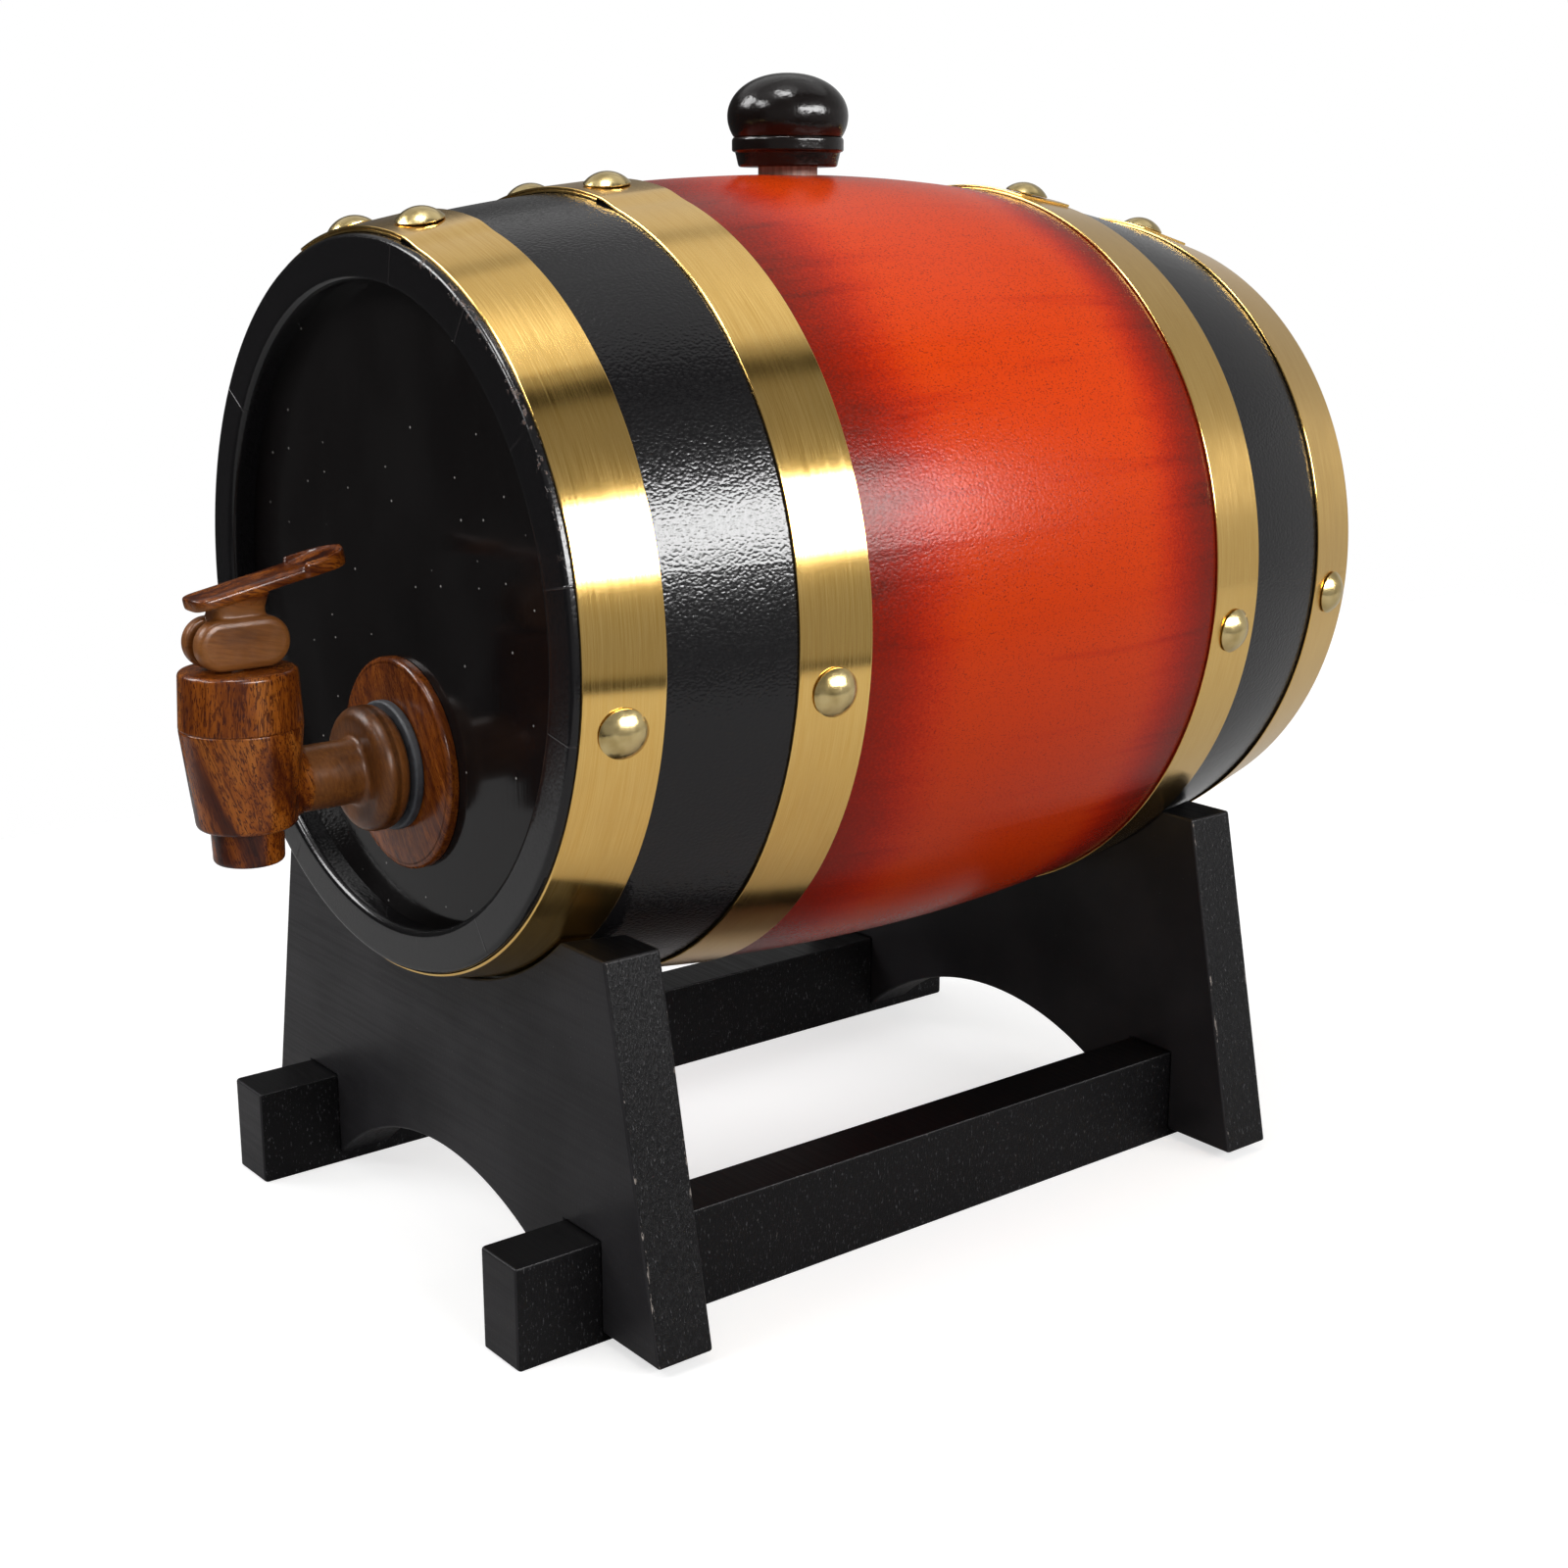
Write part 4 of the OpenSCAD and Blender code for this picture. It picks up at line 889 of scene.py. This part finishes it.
def paddle_grid(steps=64):
    """The paddle, section by section along Y: half width w(y), rounded at the tip and the back end. The top
    is raised by PAD_UP over the pad, and dished inside the pad's rims, deepest at its front."""
    tip_y = PADDLE_FRONT + TIP_ROUND * np.linspace(0, 1, 9) ** 2
    back_y = BACK_FROM + BACK_ROUND * np.sin(np.linspace(0, 1, 14) * np.pi / 2)
    y = np.unique(np.concatenate([tip_y, np.linspace(TIP_TO, BACK_FROM, 60), [PAD_FROM, PAD_FROM + PAD_RISE],
                                  back_y]))
    pad = np.clip((y - PAD_FROM) / PAD_RISE, 0, 1)
    half = LEVER_W / 2 + PAD_RISE * pad
    tip = np.clip((TIP_TO - y) / TIP_ROUND, 0, 1)
    half = half - TIP_ROUND * (1 - np.sqrt(np.clip(1 - tip ** 2, 0, 1)))
    back = np.clip((y - BACK_FROM) / BACK_ROUND, 0, 1)
    half = half * np.sqrt(np.clip(1 - back ** 2, 1e-6, 1))
    a = np.linspace(0, 2 * np.pi, steps, endpoint=False)
    c, s = np.cos(a), np.sin(a)
    x = np.sign(c) * np.abs(c) ** 0.4
    z = np.sign(s) * np.abs(s) ** 0.4
    across = half[:, None] * x[None]
    top = PADDLE_T + PAD_UP * pad[:, None] + 0 * across
    inner = np.clip((half[:, None] - np.abs(across) - RIM_W) / RIM_SLOPE, 0, 1)
    fall = np.clip(1 - (y - PAD_FROM) / (PADDLE_BACK - RIM_END - PAD_FROM), 0, 1) ** 0.8
    end = np.clip((PADDLE_BACK - RIM_W - y) / RIM_SLOPE, 0, 1)
    top = top - (pad * (PAD_UP * fall + DISH_MORE) * end)[:, None] * inner
    height = np.where(z[None] > 0, top / 2 * (1 + z[None]), PADDLE_T / 2 * (1 + z[None]))
    return np.stack([across, y[:, None] + 0 * across, height], axis=-1)


neck_grid = box_grid(widths=[0.0040, 0.0037, 0.0034, 0.0034, 0.0037, 0.0040],
                     depths=[0.0056, 0.0053, 0.0049, 0.0047, 0.0050, 0.0056],
                     middles=[0.0002, 0.0002, 0.0002, 0.0003, 0.0004, 0.0006],
                     heights=[0.0015, 0.0036, 0.0048, 0.0058, 0.0074, 0.0088])
cams = [skin(cam_grid(side), ends=True) for side in (-1, 1)]
paddle = skin(settle(paddle_grid(), (0, 0, PADDLE_UP), tilt=SLOPE), ends=True)
lever_skins = [(points + lever_foot, faces) for points, faces in cams + [skin(neck_grid, ends=True), paddle]]
lever_print = wood_print("wood_print_lever", lever_foot, turn=(78, 4, 0), bend=0.4, light=-0.04,
                         pore_share=0.6, band=0.003, plain=(2, 0.0085, 0.0055))
lever = make("tap_lever_moulded", lever_skins, lever_print, sharp=180)
remesh = lever.modifiers.new("moulding", "REMESH")
remesh.mode = "VOXEL"
remesh.voxel_size = LEVER_VOXEL
remesh.use_smooth_shade = True
ease = lever.modifiers.new("softened_edges", "SMOOTH")
ease.factor = 0.5
ease.iterations = 5
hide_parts("tap_lever")
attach(lever, "lever")


# ---------------------------------------------------------------- Boards
# Two boards sawn from solid wood and painted satin black, with a saddle for the cask, an arch and two notches
# for the rails. Faces turned sideways or upwards carry a painted shade; the end grain at the sides stays
# speckled, and the paint chips at edges.
BOARD_FOOT, BOARD_HORN, FOOT_Z, HORN_Z = 0.1472, 0.118, 0.002, 0.0728
ARCH_H, ARCH_HALF, RAIL_IN, RAIL_OUT, RAIL_TOP = 0.017, 0.0442, 0.0442, 0.0559, 0.0197
ARCH_R = (ARCH_HALF ** 2 + ARCH_H ** 2) / (2 * ARCH_H)
SEAT_GAP = 0.0003
SADDLE_STEPS = 64


def board_face(y, seat):
    """The outline of a board's face: the saddle is a circle round the cask's axis, the arch one through the
    rails' inner edges with the height h, r = (half^2 + h^2) / (2 h)."""
    r = float(stave_r(y - cask_centre[1])) + seat
    reach = math.asin(math.sqrt(r ** 2 - (cask_centre[2] - HORN_Z) ** 2) / r)
    a = np.linspace(reach, -reach, SADDLE_STEPS)
    saddle = np.stack([r * np.sin(a), cask_centre[2] - r * np.cos(a)], axis=-1)
    span = math.asin(ARCH_HALF / ARCH_R)
    b = np.linspace(-span, span, 48)
    arch = np.stack([ARCH_R * np.sin(b), FOOT_Z + ARCH_H - ARCH_R + ARCH_R * np.cos(b)], axis=-1)
    left = [(-BOARD_HORN / 2, HORN_Z), (-BOARD_FOOT / 2, FOOT_Z), (-RAIL_OUT, FOOT_Z), (-RAIL_OUT, RAIL_TOP),
            (-RAIL_IN, RAIL_TOP)]
    right = [(-x, z) for x, z in left[::-1]]
    outline = np.concatenate([left, arch, right, saddle])
    return np.stack([outline[:, 0], np.full(len(outline), y), outline[:, 1]], axis=-1)


PAIR_MIDDLE, BOARD_OUT, BOARD_SIDE = 0.009675, 0.074175, 0.0575
PAINT_LIGHT, PAINT_DARK = (0.0265, 0.0253, 0.0275), (0.0165, 0.0157, 0.0172)
# The darker black that paints shade on the faces turned sideways or upwards.
PAINTED_SHADE_BLACK = (0.0030, 0.0028, 0.0032)
END_GREY, SPECK_GREY, BARE_WOOD = (0.16, 0.16, 0.17), (0.20, 0.20, 0.20), (0.48, 0.42, 0.38)
paint = Finish("black_stand_wood")
facing_x, _, facing_z = paint.axes(paint.add("NewGeometry", output="Normal"))
board_x, board_y, _ = paint.axes()
side_face = paint.step(paint.maths("ABSOLUTE", facing_x), 0.75, 0.9)
up_face = paint.step(facing_z, 0.75, 0.9)
stand_grain = paint.noise((0.03, 0.0009, 0.0009), detail=3, roughness=0.6)
end_cells = paint.noise((0.0006, 0.0004, 0.0011), detail=3, roughness=0.7)
specks = paint.noise(0.00045, roughness=0.6)
cloudy = paint.noise(0.025, detail=3)
paint_colour = paint.blend(paint.step(cloudy, 0.3, 0.7), PAINT_DARK, PAINT_LIGHT)
# Painted shade: faces turned sideways or upwards are blended darker.
painted_side_shade = paint.times(paint.maths("MAXIMUM", side_face, up_face), 0.9)
paint_colour = paint.blend(painted_side_shade, paint_colour, PAINTED_SHADE_BLACK)
end_share = paint.times(side_face, paint.step(end_cells, 0.60, 0.72, 0.0, 0.5))
paint_colour = paint.blend(end_share, paint_colour, END_GREY)
paint_colour = paint.blend(paint.step(specks, 0.72, 0.80, 0.0, 0.4), paint_colour, SPECK_GREY)
edge_gap = paint.off(paint.off(board_y, PAIR_MIDDLE), BOARD_OUT)
chips = paint.noise((0.0016, 0.0011, 0.0045), detail=4, roughness=0.7)
chipped = paint.times(paint.step(chips, 0.60, 0.615), paint.step(edge_gap, 0.0050, 0.0059))
chipped = paint.times(chipped, paint.step(paint.maths("ABSOLUTE", board_x), BOARD_SIDE - 0.001, BOARD_SIDE))
paint_colour = paint.blend(paint.times(chipped, side_face), paint_colour, BARE_WOOD)
paint_relief = paint.bump(stand_grain, 0.00003)
paint_relief = paint.bump(end_cells, paint.times(side_face, 0.00012, 0.00002), paint_relief)
paint_finish = paint.shade(Base_Color=paint_colour, Roughness=paint.step(stand_grain, 0.3, 0.7, 0.30, 0.42),
                           Specular_IOR_Level=0.11, Normal=paint_relief)
EASED = 0.0006


def ease_edges(thing, width, segments=3, angle=40.0):
    """Breaks every edge sharper than an angle with a small round, as sandpaper does."""
    bevel = thing.modifiers.new("eased_edges", "BEVEL")
    bevel.width, bevel.segments = width, segments
    bevel.limit_method, bevel.angle_limit = "ANGLE", math.radians(angle)
    bevel.harden_normals = True


for name, seat in (("front_board", HOOP_SEAT + HOOP_T + SEAT_GAP), ("back_board", SEAT_GAP)):
    low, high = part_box(name)
    faces = np.stack([board_face(low.y, seat), board_face(high.y, seat)])
    board = make(f"{name}_sawn", [skin(faces, ends=True)], paint_finish, sharp=30)
    ease_edges(board, EASED)
    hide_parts(name)
    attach(board, "stand")


# ---------------------------------------------------------------- Rails and screws
# Two square rails tie the boards together and stand on the floor; four countersunk wood screws come up
# through them into the boards.
SCREW_R, SCREW_HEAD_R, SCREW_HEAD_H, SCREW_GAP = 0.0018, 0.0036, 0.0024, 0.00005
board_ys = [(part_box(name)[0].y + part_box(name)[1].y) / 2 for name in ("front_board", "back_board")]
sink = np.array([(0.0, -0.001), (SCREW_HEAD_R + SCREW_GAP, -0.001), (SCREW_HEAD_R + SCREW_GAP, 0.0),
                 (SCREW_R + SCREW_GAP, SCREW_HEAD_H), (SCREW_R + SCREW_GAP, RAIL_TOP + 0.001),
                 (0.0, RAIL_TOP + 0.001)])
for name in ("left_rail", "right_rail"):
    low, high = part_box(name)
    middle = (low.x + high.x) / 2
    ends = [np.array([(low.x, y, low.z), (high.x, y, low.z), (high.x, y, high.z), (low.x, y, high.z)])
            for y in (low.y, high.y)]
    rail = make(f"{name}_sawn", [skin(np.stack(ends), ends=True)], paint_finish, sharp=30)
    carve(rail, [skin(turned(sink, 32) + (middle, y, 0)) for y in board_ys], sharp=30)
    ease_edges(rail, EASED)
    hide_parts(name)
    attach(rail, "stand")
dress("stand_screws", steel_finish)
